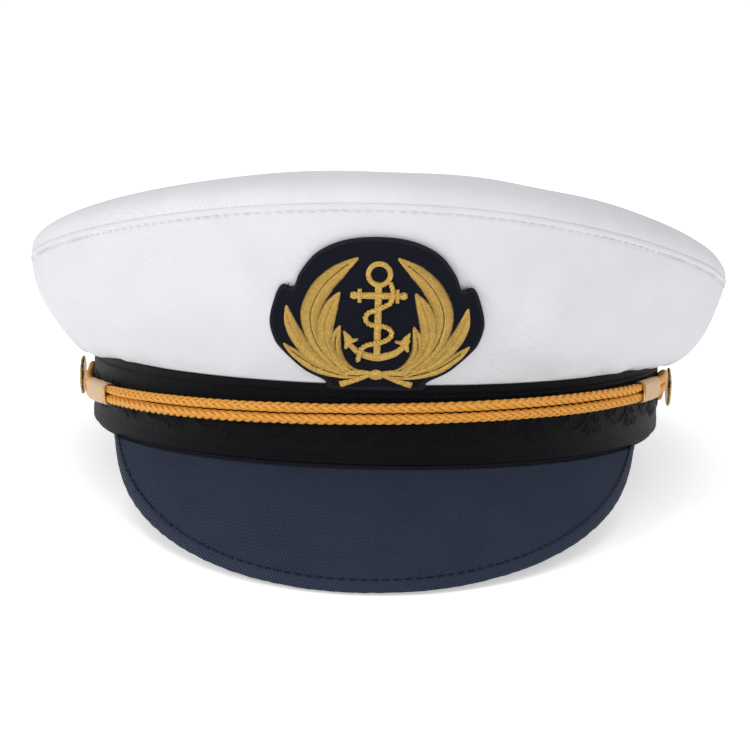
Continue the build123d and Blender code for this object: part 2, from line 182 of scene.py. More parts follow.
def ribbon_tubes(
    name, centres, outward, half_width, half_height, closed, *args, sides, uv_turns=1.0, **options
):
    """Many tubes of oval section as one piece. centres and outward are (tubes, samples, 3); the section is
    half_height along outward and half_width across it. Open tubes get end faces."""
    tubes, samples = centres.shape[:2]
    along = np.roll(centres, -1, 1) - np.roll(centres, 1, 1) if closed else np.gradient(centres, axis=1)
    along = unit(along)
    outward = unit(outward - along * (outward * along).sum(-1, keepdims=True))
    across = np.cross(along, outward)
    angle = np.linspace(0, 2 * math.pi, sides, endpoint=False)
    half_width = np.broadcast_to(half_width, centres.shape[:2])[..., None, None]
    half_height = np.broadcast_to(half_height, centres.shape[:2])[..., None, None]
    ring = half_width * np.sin(angle)[:, None] * across[:, :, None]
    ring = ring + half_height * np.cos(angle)[:, None] * outward[:, :, None]
    points = centres[:, :, None] + ring
    step = np.linalg.norm(np.diff(centres, axis=1), axis=-1)
    run = np.concatenate([np.zeros((tubes, 1)), np.cumsum(step, 1)], 1)
    if closed:
        run = np.concatenate([run, run[:, -1:] + step[:, -1:]], 1)
    quads, rows, columns = grid_faces(samples, sides, closed, True)
    turn = columns / sides * uv_turns
    starts = np.arange(tubes) * samples * sides
    faces = [np.concatenate([quads + start for start in starts])]
    uv = [np.stack([run[t][rows], turn + t * 0.37], -1).reshape(-1, 2) for t in range(tubes)]
    if not closed:
        first = starts[:, None] + np.arange(sides)
        ends = np.stack([first[:, ::-1], first + (samples - 1) * sides], 1).reshape(-1, sides)
        faces.append(ends)
        uv.append(np.zeros((ends.size, 2)))
    return mesh_piece(name, points.reshape(-1, 3), faces, np.concatenate(uv), *args, **options)


# --- shape of the cap -------------------------------------------------------------------------------
def oval(turn, offset):
    """Points (x, y) of the head oval moved out by offset; turn is the direction of the oval's normal,
    0 at the front and growing towards +X."""
    turn = np.asarray(turn, float)
    s, c = np.sin(turn), np.cos(turn)
    at_end = np.abs(c) > math.cos(SPLIT)
    x = np.where(at_end, (END_RADIUS + offset) * s, (SIDE_RADIUS + offset) * s - SIDE_CENTRE * np.sign(s))
    y = np.where(at_end, -(END_RADIUS + offset) * c - END_CENTRE * np.sign(c), -(SIDE_RADIUS + offset) * c)
    return x, y


def even_turns(number, offset, start=-math.pi, stop=math.pi, endpoint=False):
    """Turns evenly spaced along the oval, and the distance run along it from its front."""
    fine = np.linspace(-math.pi, math.pi, 7201)
    radius = np.where(np.abs(np.cos(fine)) > math.cos(SPLIT), END_RADIUS, SIDE_RADIUS) + offset
    run = np.concatenate([[0], np.cumsum((radius[1:] + radius[:-1]) / 2 * np.diff(fine))])
    run -= np.interp(0, fine, run)
    at = np.linspace(np.interp(start, fine, run), np.interp(stop, fine, run), number, endpoint=endpoint)
    return np.interp(at, run, fine), at


def crown_surface(turn, level):
    """The crown's skin: level is 0 at the band, 1 at the seam round the top, 2 at the middle of the top."""
    turn, level = np.broadcast_arrays(np.asarray(turn, float), np.asarray(level, float))
    base_x, base_y = oval(turn, BRAID_FACE - 0.7)
    u = np.arctan2(base_x / 92.3, -base_y / 102.3)
    reach = np.where(level > 1, np.cos((np.maximum(level, 1) - 1) * math.pi / 2), 1.0)
    up_level = np.minimum(level, 1)
    seam_x, seam_y = CROWN_WIDTH * np.sin(u), -CROWN_LENGTH * np.cos(u)
    slump = SLUMP * np.maximum(np.sin(u), 0) ** 2
    seam_z = SEAM_MEAN + SEAM_RISE * np.cos(u) + SEAM_SADDLE * np.cos(2 * u) - slump
    bulge = 1 - (1 - FRONT_BULGE) * ((1 + np.cos(u)) / 2) ** 3
    out = (1 - bulge) * up_level + bulge * np.sin(up_level * math.pi / 2)
    rise = (1 - bulge) * up_level + bulge * (1 - np.cos(up_level * math.pi / 2))
    foot = BAND_TOP - 0.15
    near = up_level / 0.2
    sag = DROOP * smoothstep((1 - np.cos(u)) / 2, 0.12, 0.5) * near * np.exp(1 - near) * (1 - up_level)
    wall_x = base_x + (seam_x - base_x) * out
    wall_y = base_y + (seam_y + CROWN_SHIFT - base_y) * out
    wall = np.stack([wall_x, wall_y, foot + (seam_z - foot) * rise - sag], -1)
    top_z = SEAM_MEAN + SEAM_RISE * reach * np.cos(u)
    top_z = top_z + SEAM_SADDLE * reach**2 * np.cos(2 * u) - slump * reach**2
    top_z = top_z + DOME_HEIGHT * (1 - reach**DOME_POWER) ** (1 / DOME_POWER)
    top = np.stack([seam_x * reach, CROWN_SHIFT + seam_y * reach, top_z], -1)
    return np.where((level > 1)[..., None], top, wall)


# --- materials --------------------------------------------------------------------------------------
class Surface:
    """A procedural material under construction."""

    def __init__(self, name):
        self.material = bpy.data.materials.new(name)
        self.material.use_nodes = True
        self.tree = self.material.node_tree
        self.shader = self.tree.nodes["Principled BSDF"]

    def node(self, kind, inputs=(), **settings):
        node = self.tree.nodes.new("ShaderNode" + kind)
        for key, value in settings.items():
            setattr(node, key, value)
        for key, value in dict(inputs).items():
            if isinstance(value, bpy.types.NodeSocket):
                self.tree.links.new(value, node.inputs[key])
            else:
                node.inputs[key].default_value = value
        return node

    def math(self, operation, *values):
        return self.node("Math", dict(enumerate(values)), operation=operation).outputs[0]

    def cloth_axes(self):
        """The two cloth coordinates in mm, along and up."""
        uv = self.node("UVMap", uv_map="Cloth").outputs[0]
        split = self.node("SeparateXYZ", {0: uv})
        return uv, split.outputs[0], split.outputs[1]

    def position(self):
        """The place in the object's own axes, in mm."""
        where = self.node("TexCoord").outputs["Object"]
        return self.stretched(where, (1000, 1000, 1000))

    def wave(self, x, pitch, y=None, slant=0.0):
        """A smooth wave from 0 to 1 along x, of that pitch in mm, its lines leaning by slant along y."""
        if y is not None:
            x = self.math("MULTIPLY_ADD", y, slant, x)
        turned = self.math("SINE", self.math("MULTIPLY", x, 2 * math.pi / pitch))
        return self.math("MULTIPLY_ADD", turned, 0.5, 0.5)

    def noise(self, vector, scale, detail=3.0, rough=0.55):
        inputs = {"Vector": vector, "Scale": scale, "Detail": detail, "Roughness": rough}
        return self.node("TexNoise", inputs).outputs["Fac"]

    def stretched(self, vector, scale):
        return self.node("Mapping", {"Vector": vector, "Scale": scale}).outputs[0]

    def mix(self, factor, low, high):
        """A colour ramp from low to high by factor."""
        ramp = self.node("ValToRGB", {"Fac": factor})
        for stop, colour in zip(ramp.color_ramp.elements, (low, high)):
            stop.color = (*colour, 1)
        return ramp.outputs[0]

    def finish(self, colour, roughness, height=None, depth=0.1, sheen=0.0, metallic=0.0, specular=0.5):
        """Wires the shader: height is 0 to 1 and depth its size in mm."""
        for key, value in (("Base Color", colour), ("Roughness", roughness)):
            if isinstance(value, bpy.types.NodeSocket):
                self.tree.links.new(value, self.shader.inputs[key])
            else:
                self.shader.inputs[key].default_value = (*value, 1) if key == "Base Color" else value
        self.shader.inputs["Metallic"].default_value = metallic
        self.shader.inputs["Sheen Weight"].default_value = sheen
        self.shader.inputs["Specular IOR Level"].default_value = specular
        if height is not None:
            relief = self.node("Bump", {"Height": height, "Distance": depth * MM, "Strength": 1.0})
            self.tree.links.new(relief.outputs[0], self.shader.inputs["Normal"])
        return self.material


def twill(
    name, low, high, pitch, depth, slant=1.0, roughness=0.85, sheen=0.1, ridge_share=0.22, specular=0.3
):
    """Twill: fine diagonal ridges crossed by the yarns, with faint unevenness."""
    s = Surface(name)
    uv, along, up = s.cloth_axes()
    ridge = s.wave(along, pitch, up, slant)
    yarn = s.wave(up, pitch * 0.73, along, -0.2)
    fibre = s.noise(s.stretched(uv, (1.2, 5.0, 1)), 1.0, 2)
    height = s.math("MULTIPLY_ADD", yarn, 0.35, s.math("MULTIPLY_ADD", fibre, 0.4, ridge))
    patch = s.noise(uv, 0.055, 4)
    rest = s.math("MULTIPLY_ADD", fibre, 0.4, s.math("MULTIPLY", patch, 0.6))
    tone = s.math("MULTIPLY_ADD", ridge, ridge_share, s.math("MULTIPLY", rest, 1 - ridge_share))
    return s.finish(s.mix(tone, low, high), roughness, height, depth, sheen, specular=specular)


def thread(name, low, high, filament, turn, depth=0.06, roughness=0.42, specular=0.25):
    """Glossy thread: filaments that run along each tube with a slight twist."""
    s = Surface(name)
    uv, along, around = s.cloth_axes()
    lines = s.wave(around, filament, along, turn)
    fibre = s.noise(s.stretched(uv, (0.8, 9.0, 1)), 1.0, 3)
    height = s.math("MULTIPLY_ADD", fibre, 0.8, s.math("MULTIPLY", lines, 0.6))
    patch = s.math("MULTIPLY", s.noise(uv, 0.3), 0.2)
    tone = s.math("MULTIPLY_ADD", fibre, 0.55, s.math("MULTIPLY_ADD", lines, 0.25, patch))
    return s.finish(s.mix(tone, low, high), roughness, height, depth, specular=specular)


def metal_thread(name, low, high):
    """Gimp thread: broken turns of metal round each thread, with random specks raised in relief and painted
    lighter into its colour as painted glints of its sparkle.
    """
    s = Surface(name)
    uv, _, around = s.cloth_axes()
    twist = s.wave(around, 0.42)
    specks = s.noise(uv, 1.7, 3, 0.7)
    fine = s.noise(s.stretched(uv, (1.5, 6.0, 1)), 1.0, 3)
    specks_and_painted_glints = s.node("MapRange", {"Value": specks, "From Min": 0.34, "From Max": 0.58}).outputs[0]
    height = s.math("MULTIPLY_ADD", twist, 0.6, s.math("ADD", specks_and_painted_glints, s.math("MULTIPLY", fine, 0.5)))
    tone = s.math("MULTIPLY_ADD", twist, 0.25, s.math("MULTIPLY", fine, 0.3))
    # The specks are painted lighter into the colour: painted glints, not a property of the thread under any
    # lamp.
    tone = s.math("MULTIPLY_ADD", specks_and_painted_glints, 0.55, tone)
    return s.finish(s.mix(tone, low, high), 0.36, height, 0.30, metallic=0.2, specular=0.4)


def woven_black(name, low, high):
    """The band's braid: fine upright ribs over matt black yarn."""
    s = Surface(name)
    uv, along, up = s.cloth_axes()
    ribs = s.wave(along, 0.62)
    picks = s.wave(up, 0.45, along, 0.15)
    fuzz = s.noise(uv, 3.0, 3)
    height = s.math("MULTIPLY_ADD", picks, 0.6, s.math("MULTIPLY_ADD", fuzz, 0.5, ribs))
    tone = s.math("MULTIPLY_ADD", fuzz, 0.6, s.math("MULTIPLY", ribs, 0.4))
    return s.finish(s.mix(tone, low, high), 0.5, height, 0.09, specular=0.08)


def hide(name, low, high, grain):
    """Leather: a cracked fine grain."""
    s = Surface(name)
    where = s.position()
    cells = s.node("TexVoronoi", {"Vector": where, "Scale": 1 / grain}, feature="DISTANCE_TO_EDGE")
    grainy = s.node("MapRange", {"Value": cells.outputs["Distance"], "From Max": 0.25}).outputs[0]
    soft = s.noise(where, 0.25, 4)
    height = s.math("MULTIPLY_ADD", soft, 0.5, grainy)
    return s.finish(s.mix(soft, low, high), 0.5, height, 0.12, specular=0.25)


def brass(name, clean, patina, scratch=0.35):
    """Brass with brown patina in broad clouds and fine scratches."""
    s = Surface(name)
    where = s.position()
    clouds = s.noise(where, 0.35, 5, 0.65)
    fine = s.noise(s.stretched(where, (1, 4, 9)), 1.2, 3)
    edge = s.node("MapRange", {"Value": clouds, "From Min": 0.38, "From Max": 0.62}).outputs[0]
    rough = s.math("MULTIPLY_ADD", clouds, scratch, 0.12)
    return s.finish(s.mix(edge, patina, clean), rough, fine, 0.02, metallic=1.0)


def board(name, low, high):
    """Pressed board or plastic sheet: a faint mottle."""
    s = Surface(name)
    where = s.position()
    mottle = s.noise(where, 1.6, 4)
    return s.finish(s.mix(mottle, low, high), 0.7, mottle, 0.05, specular=0.1)


def felt(name, low, high):
    """Felt: short tangled fibres."""
    s = Surface(name)
    uv, _, _ = s.cloth_axes()
    fibre = s.noise(s.stretched(uv, (3.0, 3.0, 1)), 1.0, 5, 0.7)
    return s.finish(s.mix(fibre, low, high), 0.95, fibre, 0.18, specular=0.06)


WHITE = twill("white_twill", (0.590, 0.590, 0.625), (0.755, 0.755, 0.785), 0.7, 0.045, sheen=0.05)
WHITE_THREAD = thread("white_thread", (0.58, 0.58, 0.61), (0.72, 0.72, 0.75), 0.3, 1.2)
LINING = twill("lining_cotton", (0.48, 0.48, 0.49), (0.60, 0.60, 0.60), 0.8, 0.06, slant=0.0)
BRAID = woven_black("black_braid", (0.0003, 0.0003, 0.0007), (0.0042, 0.0042, 0.0062))
NAVY = twill(
    "navy_twill", (0.0012, 0.0022, 0.006), (0.048, 0.062, 0.108), 0.84, 0.12,
    slant=0.62, roughness=0.75, sheen=0.0, ridge_share=0.68, specular=0.10,
)
UNDERSIDE = hide("visor_lining", (0.012, 0.016, 0.022), (0.03, 0.036, 0.045), 0.7)
SWEAT_LEATHER = hide("sweat_leather", (0.060, 0.034, 0.020), (0.115, 0.070, 0.042), 0.8)
CORD = thread(
    "gold_cord", (0.50, 0.17, 0.012), (1.0, 0.50, 0.085), 0.26, 0.35,
    depth=0.07, roughness=0.38, specular=0.35,
)
GOLD = metal_thread("gold_thread", (0.50, 0.225, 0.022), (1.0, 0.70, 0.19))
BADGE_CLOTH = felt("badge_felt", (0.0020, 0.0022, 0.0045), (0.014, 0.015, 0.024))
BADGE_EDGE = thread(
    "badge_edge", (0.003, 0.003, 0.005), (0.022, 0.023, 0.030), 0.3, 0.2,
    depth=0.08, roughness=0.7, specular=0.1,
)
SATIN = twill("keeper_satin", (0.52, 0.33, 0.17), (0.68, 0.46, 0.26), 0.45, 0.05, slant=0.05, roughness=0.5)
BRASS = brass("worn_brass", (0.80, 0.60, 0.30), (0.22, 0.13, 0.06))
BRIGHT_BRASS = brass("bright_brass", (0.95, 0.80, 0.48), (0.55, 0.38, 0.16), 0.2)
NAVY_THREAD = thread("navy_thread", (0.002, 0.003, 0.007), (0.012, 0.017, 0.035), 0.3, 1.2, specular=0.1)
SWEAT_THREAD = thread("brown_thread", (0.05, 0.035, 0.025), (0.13, 0.09, 0.06), 0.3, 1.2)
MATT_BLACK = board("black_cambric", (0.006, 0.006, 0.009), (0.018, 0.018, 0.024))
BOARD = board("pressed_board", (0.05, 0.05, 0.05), (0.09, 0.09, 0.09))
SHEET = board("stay_sheet", (0.6, 0.6, 0.58), (0.75, 0.75, 0.72))

# A factor on the detail of the meshes: 1.0 is full detail, less makes them coarser.
FINE = 1.0


def count(n):
    return max(4, int(n * FINE))


# --- crown ------------------------------------------------------------------------------------------
SEAM_TURN = math.pi / 2 + math.asin(19 / CROWN_LENGTH)      # of the side seams, 19 mm behind the middle
LARGE_FOLDS, BAND_PUCKERS, SEAM_PUCKERS = ripple(3, 45, 95), ripple(5, 9, 26), ripple(8, 6, 17)
# Soft creases in the front: x and height of the lower and upper ends, width and depth.
CREASES = [
    (((-33.0, 36.0), (-50.0, 84.0)), 5.0, 3.2), (((-78.0, 30.0), (-64.0, 74.0)), 7.0, 1.6),
    (((62.0, 32.0), (80.0, 72.0)), 6.0, 1.8), (((40.0, 34.0), (54.0, 66.0)), 5.0, 1.2),
]


def crease(points, ends, width):
    """1 along a straight crease seen from the front, falling off to its sides and ends."""
    (x0, z0), (x1, z1) = ends
    length = math.hypot(x1 - x0, z1 - z0)
    dx, dz = (x1 - x0) / length, (z1 - z0) / length
    x, z = points[..., 0] - x0, points[..., 2] - z0
    along, off = (x * dx + z * dz) / length, x * dz - z * dx
    front = (points[..., 1] < 0).astype(float)
    return bump(off, 0, width) * smoothstep(along, -0.1, 0.35) * (1 - smoothstep(along, 0.75, 1.1)) * front


def crown_cloth(turns, run, levels, closed):
    """The outer skin with its folds, its normals, and each point's distance from the seam round the top."""
    on_top = levels[-1] > 1
    points = crown_surface(turns[:, None], levels[None, :])
    step = np.linalg.norm(np.diff(points, axis=1), axis=-1)
    below = np.concatenate([np.zeros((len(turns), 1)), np.cumsum(step, 1)], 1)
    from_seam = below if on_top else below[:, -1:] - below
    from_band = np.full_like(below, 200.0) if on_top else below
    normals = grid_normals(points, closed)
    if on_top:
        normals = normals * np.sign(normals[..., 2:3])
    across = run[:, None]
    folds = LARGE_FOLDS(points[..., 0] + points[..., 1] * 0.6, points[..., 2] * 1.6)
    push = (0.45 if on_top else 1.0) * folds * smoothstep(from_seam, 2, 20) * smoothstep(from_band, 1, 14)
    puckers = BAND_PUCKERS(across, from_band * 0.4) * np.exp(-from_band / 7)
    push += 0.42 * puckers * smoothstep(from_band, 0, 2)
    push += 0.22 * SEAM_PUCKERS(across, from_seam * 0.5) * np.exp(-from_seam / 4.5)
    if on_top:
        push -= 0.15 * bump(from_seam, 0, 0.4)
    else:
        # The seam allowance makes a ridge between the seam's furrow and the topstitch's.
        push += 0.38 * bump(from_seam, 1.1, 0.8)
        push -= 0.3 * bump(from_seam, 0, 0.35) + 0.22 * bump(from_seam, 2.4, 0.6)
        for ends, width, depth in CREASES:
            ridge = crease(points, ends, 1.7 * width)
            furrow = crease(points + (0.8 * width, 0, 0), ends, width)
            push += depth * (0.9 * ridge - 0.75 * furrow) * smoothstep(from_seam, 3, 14)
    # The cloth can't sink into the stay behind it.
    push = np.where(push < -0.3, -0.3 - 0.8 * np.tanh((-0.3 - push) / 0.8), push)
    return points + normals * push[..., None], normals, from_seam


def turns_past_back(start):
    """Evenly spaced turns from the right side seam round the back to the left one."""
    half, run = even_turns(count(130), BRAID_FACE, start, math.pi, endpoint=True)
    turns = np.concatenate([half, 2 * math.pi - half[-2::-1]])
    return turns, np.concatenate([run, 2 * run[-1] - run[-2::-1]])


def crown_panel(name, start, stop, slot_name):
    """A wall panel of the crown: outer cloth and its inner face, closed round the edges."""
    if stop > math.pi:
        turns, run = turns_past_back(start)
    else:
        number = count(520 * (stop - start) / (2 * math.pi))
        turns, run = even_turns(number, BRAID_FACE, start, stop, endpoint=True)
    stages = (0, 0.12, 8), (0.12, 0.86, 30), (0.86, 1, 22)
    levels = np.concatenate([np.linspace(low, high, count(n))[:-1] for low, high, n in stages] + [[1.0]])
    outer, normals, from_seam = crown_cloth(turns, run, levels, False)
    inner = outer - normals * CROWN_CLOTH
    shell = np.concatenate([outer, inner[:, ::-1]], 1)
    up = from_seam.max(1, keepdims=True) - from_seam
    uv = np.stack([np.broadcast_to(run[:, None], up.shape), up], -1)
    uv = wrapped(np.concatenate([uv, uv[:, ::-1]], 1), (False, True))
    piece = capped_ring(name, shell, uv, WHITE, "cap", "crown_cloth", replaces=(slot_name,))
    fix_normals(piece)


def cap_strip(number):
    """Quads across a wall whose section is a loop of that many points."""
    j = np.arange(number // 2 - 1)
    return np.stack([j, j + 1, number - 2 - j, number - 1 - j], -1)


def capped_ring(name, shell, uv, *args, **options):
    """A grid closed in its second direction whose two end loops are filled with quads across the wall."""
    nu, nv = shell.shape[:2]
    quads, rows, columns = grid_faces(nu, nv, False, True)
    first = cap_strip(nv)
    last = first[:, ::-1]
    faces = np.concatenate([quads, first, last + (nu - 1) * nv])
    corner_uv = np.concatenate([uv[rows, columns], uv[0, first], uv[-1, last]]).reshape(-1, 2)
    return mesh_piece(name, shell.reshape(-1, 3), [faces], corner_uv, *args, **options)


def crown_top():
    """The top panel: a disc of cloth with its inner face, closed round the rim."""
    turns, run = even_turns(count(520), BRAID_FACE)
    rim = 1 + np.linspace(0, 0.16, count(26))[:-1] ** 1.35
    levels = np.concatenate([rim, np.linspace(rim[-1] + 0.01, 1.985, count(60))])
    levels[0] = 1.0001
    outer, normals, _ = crown_cloth(turns, run, levels, True)
    inner = outer - normals * CROWN_CLOTH
    nu, nv = outer.shape[:2]
    points = np.concatenate([outer.reshape(-1, 3), inner.reshape(-1, 3)])
    quads, _, _ = grid_faces(nu, nv, True, False)
    base = nu * nv
    i = np.arange(nu)
    k = (i + 1) % nu
    rim_quads = np.stack([i * nv, base + i * nv, base + k * nv, k * nv], -1)
    middle = (i * nv + nv - 1)[None, :]
    faces = [
        np.concatenate([quads, quads[:, ::-1] + base, rim_quads]),
        np.concatenate([middle, middle[:, ::-1] + base]),
    ]
    corners = np.concatenate([f.ravel() for f in faces])
    uv = points[corners, :2]
    replaced = ("crown_top_panel",)
    piece = mesh_piece("crown_top", points, faces, uv, WHITE, "cap", "crown_cloth", replaces=replaced)
    fix_normals(piece)


def fix_normals(piece):
    """Turns every face of a closed piece outwards."""
    work = bmesh.new()
    work.from_mesh(piece.data)
    bmesh.ops.recalc_face_normals(work, faces=work.faces)
    work.to_mesh(piece.data)
    work.free()


def line_on_crown(distance):
    """A line round the wall at that distance below the seam, with its outward directions."""
    turns, run = even_turns(1400, BRAID_FACE)
    number = 60
    outer, normals, from_seam = crown_cloth(turns, run, np.linspace(0.8, 1.0, number), True)
    pick = np.array([np.interp(distance, f[::-1], np.arange(number)[::-1]) for f in from_seam])
    low = np.clip(np.floor(pick).astype(int), 0, number - 2)
    part = (pick - low)[:, None]
    rows = np.arange(len(turns))
    return outer[rows, low] * (1 - part) + outer[rows, low + 1] * part, normals[rows, low]


def stitches(name, path, outward, length, gap, radius, material, body, slot, closed=True):
    """A row of separate stitches along a path: each a short thread that dips into the cloth at its ends."""
    if closed:
        path, outward = np.vstack([path, path[:1]]), np.vstack([outward, outward[:1]])
    run = np.concatenate([[0], np.cumsum(np.linalg.norm(np.diff(path, axis=0), axis=1))])
    number = int(run[-1] / (length + gap))
    pitch = run[-1] / number
    share = np.linspace(0, 1, 7)
    at = (np.arange(number)[:, None] + 0.1) * pitch + share * length * pitch / (length + gap)
    at = np.minimum(at, run[-1])
    centres = np.stack([np.interp(at, run, path[:, k]) for k in range(3)], -1)
    out = unit(np.stack([np.interp(at, run, outward[:, k]) for k in range(3)], -1))
    lift = radius * (0.75 - 1.5 * np.abs(2 * share - 1) ** 3)
    raised = centres + out * lift[:, None]
    return ribbon_tubes(name, raised, out, radius * 1.15, radius, False, material, body, slot, sides=6)


def crown():
    """The crown's two wall panels, its top, and the topstitching below the seam."""
    crown_panel("crown_front", -SEAM_TURN, SEAM_TURN, "crown_front_panel")
    start = SEAM_TURN + 0.002
    crown_panel("crown_back", start, 2 * math.pi - start, "crown_back_panel")
    crown_top()
    seam_path, seam_out = line_on_crown(2.3)
    stitches("crown_topstitch", seam_path, seam_out, 2.3, 0.9, 0.24, WHITE_THREAD, "cap", "crown_cloth")


# --- band -------------------------------------------------------------------------------------------
VINE_PERIOD = 24.0


def vine(run, height):
    """The woven pattern of the braid in relief, 0 to 1: a waving stem with lobed leaves and berries."""
    period, middle, swing, lean = VINE_PERIOD, 12.6, 3.4, 0.55
    phase = 2 * math.pi * run / period
    relief = bump(height, middle + swing * np.sin(phase), 0.62)
    for side, shift in ((1, 0.25), (-1, 0.75)):
        local = (run / period - shift + 0.5) % 1 - 0.5
        x, y = local * period, (height - middle) * side
        along = (x + 2.5) * math.cos(lean) - (y + 1.6) * math.sin(lean)
        over = (x + 2.5) * math.sin(lean) + (y + 1.6) * math.cos(lean)
        lobes = 1 + 0.26 * np.cos(along * 2.6)
        half = 2.3 * lobes * np.sqrt(np.clip(1 - (along / 5.2) ** 2, 0, 1)) + 0.05
        leaf = smoothstep(half - np.abs(over), 0, 0.6) * (1 - 0.75 * bump(over, 0, 0.3))
        vein = 0.75 + 0.25 * np.cos((along + np.abs(over) * 0.8) * 2 * math.pi / 1.3)
        relief = np.maximum(relief, leaf * vein)
        for bx, by in ((6.2, 3.6), (7.7, 2.3), (7.9, 4.4)):
            berry = np.clip(1 - ((x - bx) ** 2 + (y - by) ** 2) / 0.95, 0, 1)
            relief = np.maximum(relief, np.sqrt(berry))
    return relief * smoothstep(height, 4.9, 5.8) * (1 - smoothstep(height, 20.0, 20.9))


def braid_band():
    """The woven braid round the band: ribbed edges, the vine between them, and its turned-in rims."""
    turns, run = even_turns(count(1250), BRAID_FACE)
    length = -2 * even_turns(7200, BRAID_FACE)[1][0]
    run_even = run * (VINE_PERIOD * round(length / VINE_PERIOD)) / length
    stages = (1.8, 4.9, 16), (5.2, 20.9, 44), (21.1, 24.7, 18)
    rows = [np.linspace(low, high, count(n)) for low, high, n in stages]
    heights = np.concatenate([[1.3, 1.32, 1.5], *rows, [24.95, 25.0]])
    s, z = np.meshgrid(run_even, heights, indexing="ij")
    depth = 0.42 * vine(s, z) - 0.24
    depth += 0.17 * (bump(z, 2.0, 0.42) + bump(z, 3.15, 0.42) + bump(z, 4.3, 0.42) + bump(z, 21.5, 0.4))
    depth -= 0.2 * bump(z, 22.3, 0.2)
    depth += 0.13 * smoothstep(z, 22.5, 22.8)
    depth += 0.1 * ripple(21, 30, 80)(s, z * 2) * smoothstep(z, 6, 14) * (1 - smoothstep(z, 18, 24))
    depth[:, :1] = depth[:, -1:] = -1.25
    depth[:, 1] -= 0.2
    x, y = oval(turns[:, None], BRAID_FACE + depth)
    outer = np.stack([x, y, np.broadcast_to(z, x.shape)], -1)
    uv = np.stack([np.broadcast_to(run[:, None], z.shape), z], -1)
    uv = np.concatenate([uv, uv[:1] + (length, 0)])
    grid_piece(
        "band_braid_woven", outer, (True, False), uv, BRAID, "cap", "band_braid", replaces=("band_braid",),
    )


def sweat_leather():
    """The leather band inside the rim, with its stitches."""
    turns, run = even_turns(count(620), -2.4)
    up = np.linspace(0.6, 29.4, count(30))
    wave = ripple(31, 20, 60)
    faces = []
    for offset, heights, out in ((-1.95, up, 1), (-2.85, up[::-1], -1)):
        s, z = np.meshgrid(run, heights, indexing="ij")
        # Only the face against the head is wavy, towards its top.
        move = 0.25 * wave(s, z * 0.5) * smoothstep(z, 20, 30) * (out < 0)
        roll = -0.35 * bump(z, 29.4, 0.8) * out
        x, y = oval(turns[:, None], offset + move + roll)
        faces.append(np.stack([x, y, z], -1))
    shell = np.concatenate(faces, 1)
    around = np.append(run, -run[0])
    uv = np.stack(np.meshgrid(around, np.concatenate([up, up[::-1], up[:1]]), indexing="ij"), -1)
    grid_piece(
        "sweatband_leather", shell, (True, True), uv, SWEAT_LEATHER, "cap", "sweat_leather",
        replaces=("sweatband",),
    )
    for height in (3.2, 27.6):
        line, out = band_line(-2.86, height, 1500)
        name = f"sweatband_stitches_{round(height)}"
        stitches(name, line, -out, 2.4, 1.2, 0.2, SWEAT_THREAD, "cap", "sweat_leather")


def band_line(offset, height, samples):
    """A level line round the band, with its outward directions."""
    turns, _ = even_turns(samples, offset)
    x, y = oval(turns, offset)
    flat = np.zeros_like(x)
    return np.stack([x, y, flat + height], -1), np.stack([np.sin(turns), -np.cos(turns), flat], -1)


def rim_stitches():
    """The stitches of the band cover's turned edge, under the braid."""
    line, out = band_line(1.25, 0.75, 900)
    slanted = out - (0, 0, 0.3)
    stitches("band_rim_stitches", line, slanted, 1.4, 2.6, 0.16, SWEAT_THREAD, "cap", "band_cloth")


# --- lining -----------------------------------------------------------------------------------------
def lining():
    """Cotton lining of the crown: a gathered side wall and a top, seen from underneath."""
    turns, run = even_turns(count(420), -1)
    gathers, folds = ripple(41, 7, 16), ripple(43, 25, 60)
    roof = np.concatenate([np.linspace(1.02, 1.3, count(20))[:-1], np.linspace(1.31, 1.985, count(34))])
    for name, levels, slot_name in (
        ("crown_lining_wall", np.linspace(0.03, 0.97, count(36)), "crown_lining_side"),
        ("crown_lining_roof", roof, "crown_lining_top"),
    ):
        skin = crown_surface(turns[:, None], levels[None, :])
        normals = grid_normals(skin, True)
        if levels[-1] > 1:
            normals = normals * np.sign(normals[..., 2:3])
            near = np.exp(-(levels - 1) / 0.06)
        else:
            near = np.exp(-levels / 0.12) + np.exp(-(1 - levels) / 0.12)
        fold = 0.3 * gathers(run[:, None], levels * 10) * near
        fold = fold + 0.35 * folds(run[:, None], levels * 60) * (1 - near).clip(0.15)
        inner = skin - normals * (2.75 + fold)[..., None]
        outer = inner + normals * 0.4
        shell = np.concatenate([outer, inner[:, ::-1]], 1)
        if levels[-1] > 1:
            uv = wrapped(shell[..., :2], (True, True))
        else:
            span = np.arange(shell.shape[1] + 1) * 1.2
            uv = np.stack(np.meshgrid(np.append(run, -run[0]), span, indexing="ij"), -1)
        piece = grid_piece(
            name, shell, (True, True), uv, LINING, "cap", "lining_cloth", replaces=(slot_name,),
        )
        fix_normals(piece)


# --- visor ------------------------------------------------------------------------------------------
SLOPE_SIN, SLOPE_COS = math.sin(VISOR_SLOPE), math.cos(VISOR_SLOPE)
VISOR_UP = np.array([0, -SLOPE_SIN, SLOPE_COS])
VISOR_LEAN, VISOR_POWER = 0.9, 2.03         # tip a little to -X; outline fuller than an ellipse
VISOR_BOTTOM = 0.85 * VISOR_THICK           # the visor is thinner at its edge
VISOR_WAVES = ripple(57, 30, 90)


def visor_ripple(x, y):
    """The slight unevenness of the visor's top cloth."""
    return 0.12 * VISOR_WAVES(x, y) - 0.02


def visor_flat(x, y):
    return 0 * x


def oval_front(x, offset):
    """The y of the head oval's front at x."""
    low, high = np.zeros_like(x), np.full_like(x, math.pi / 2)
    for _ in range(40):
        middle = (low + high) / 2
        short = oval(middle, offset)[0] < np.abs(x)
        low, high = np.where(short, middle, low), np.where(short, high, middle)
    return oval(low, offset)[1]


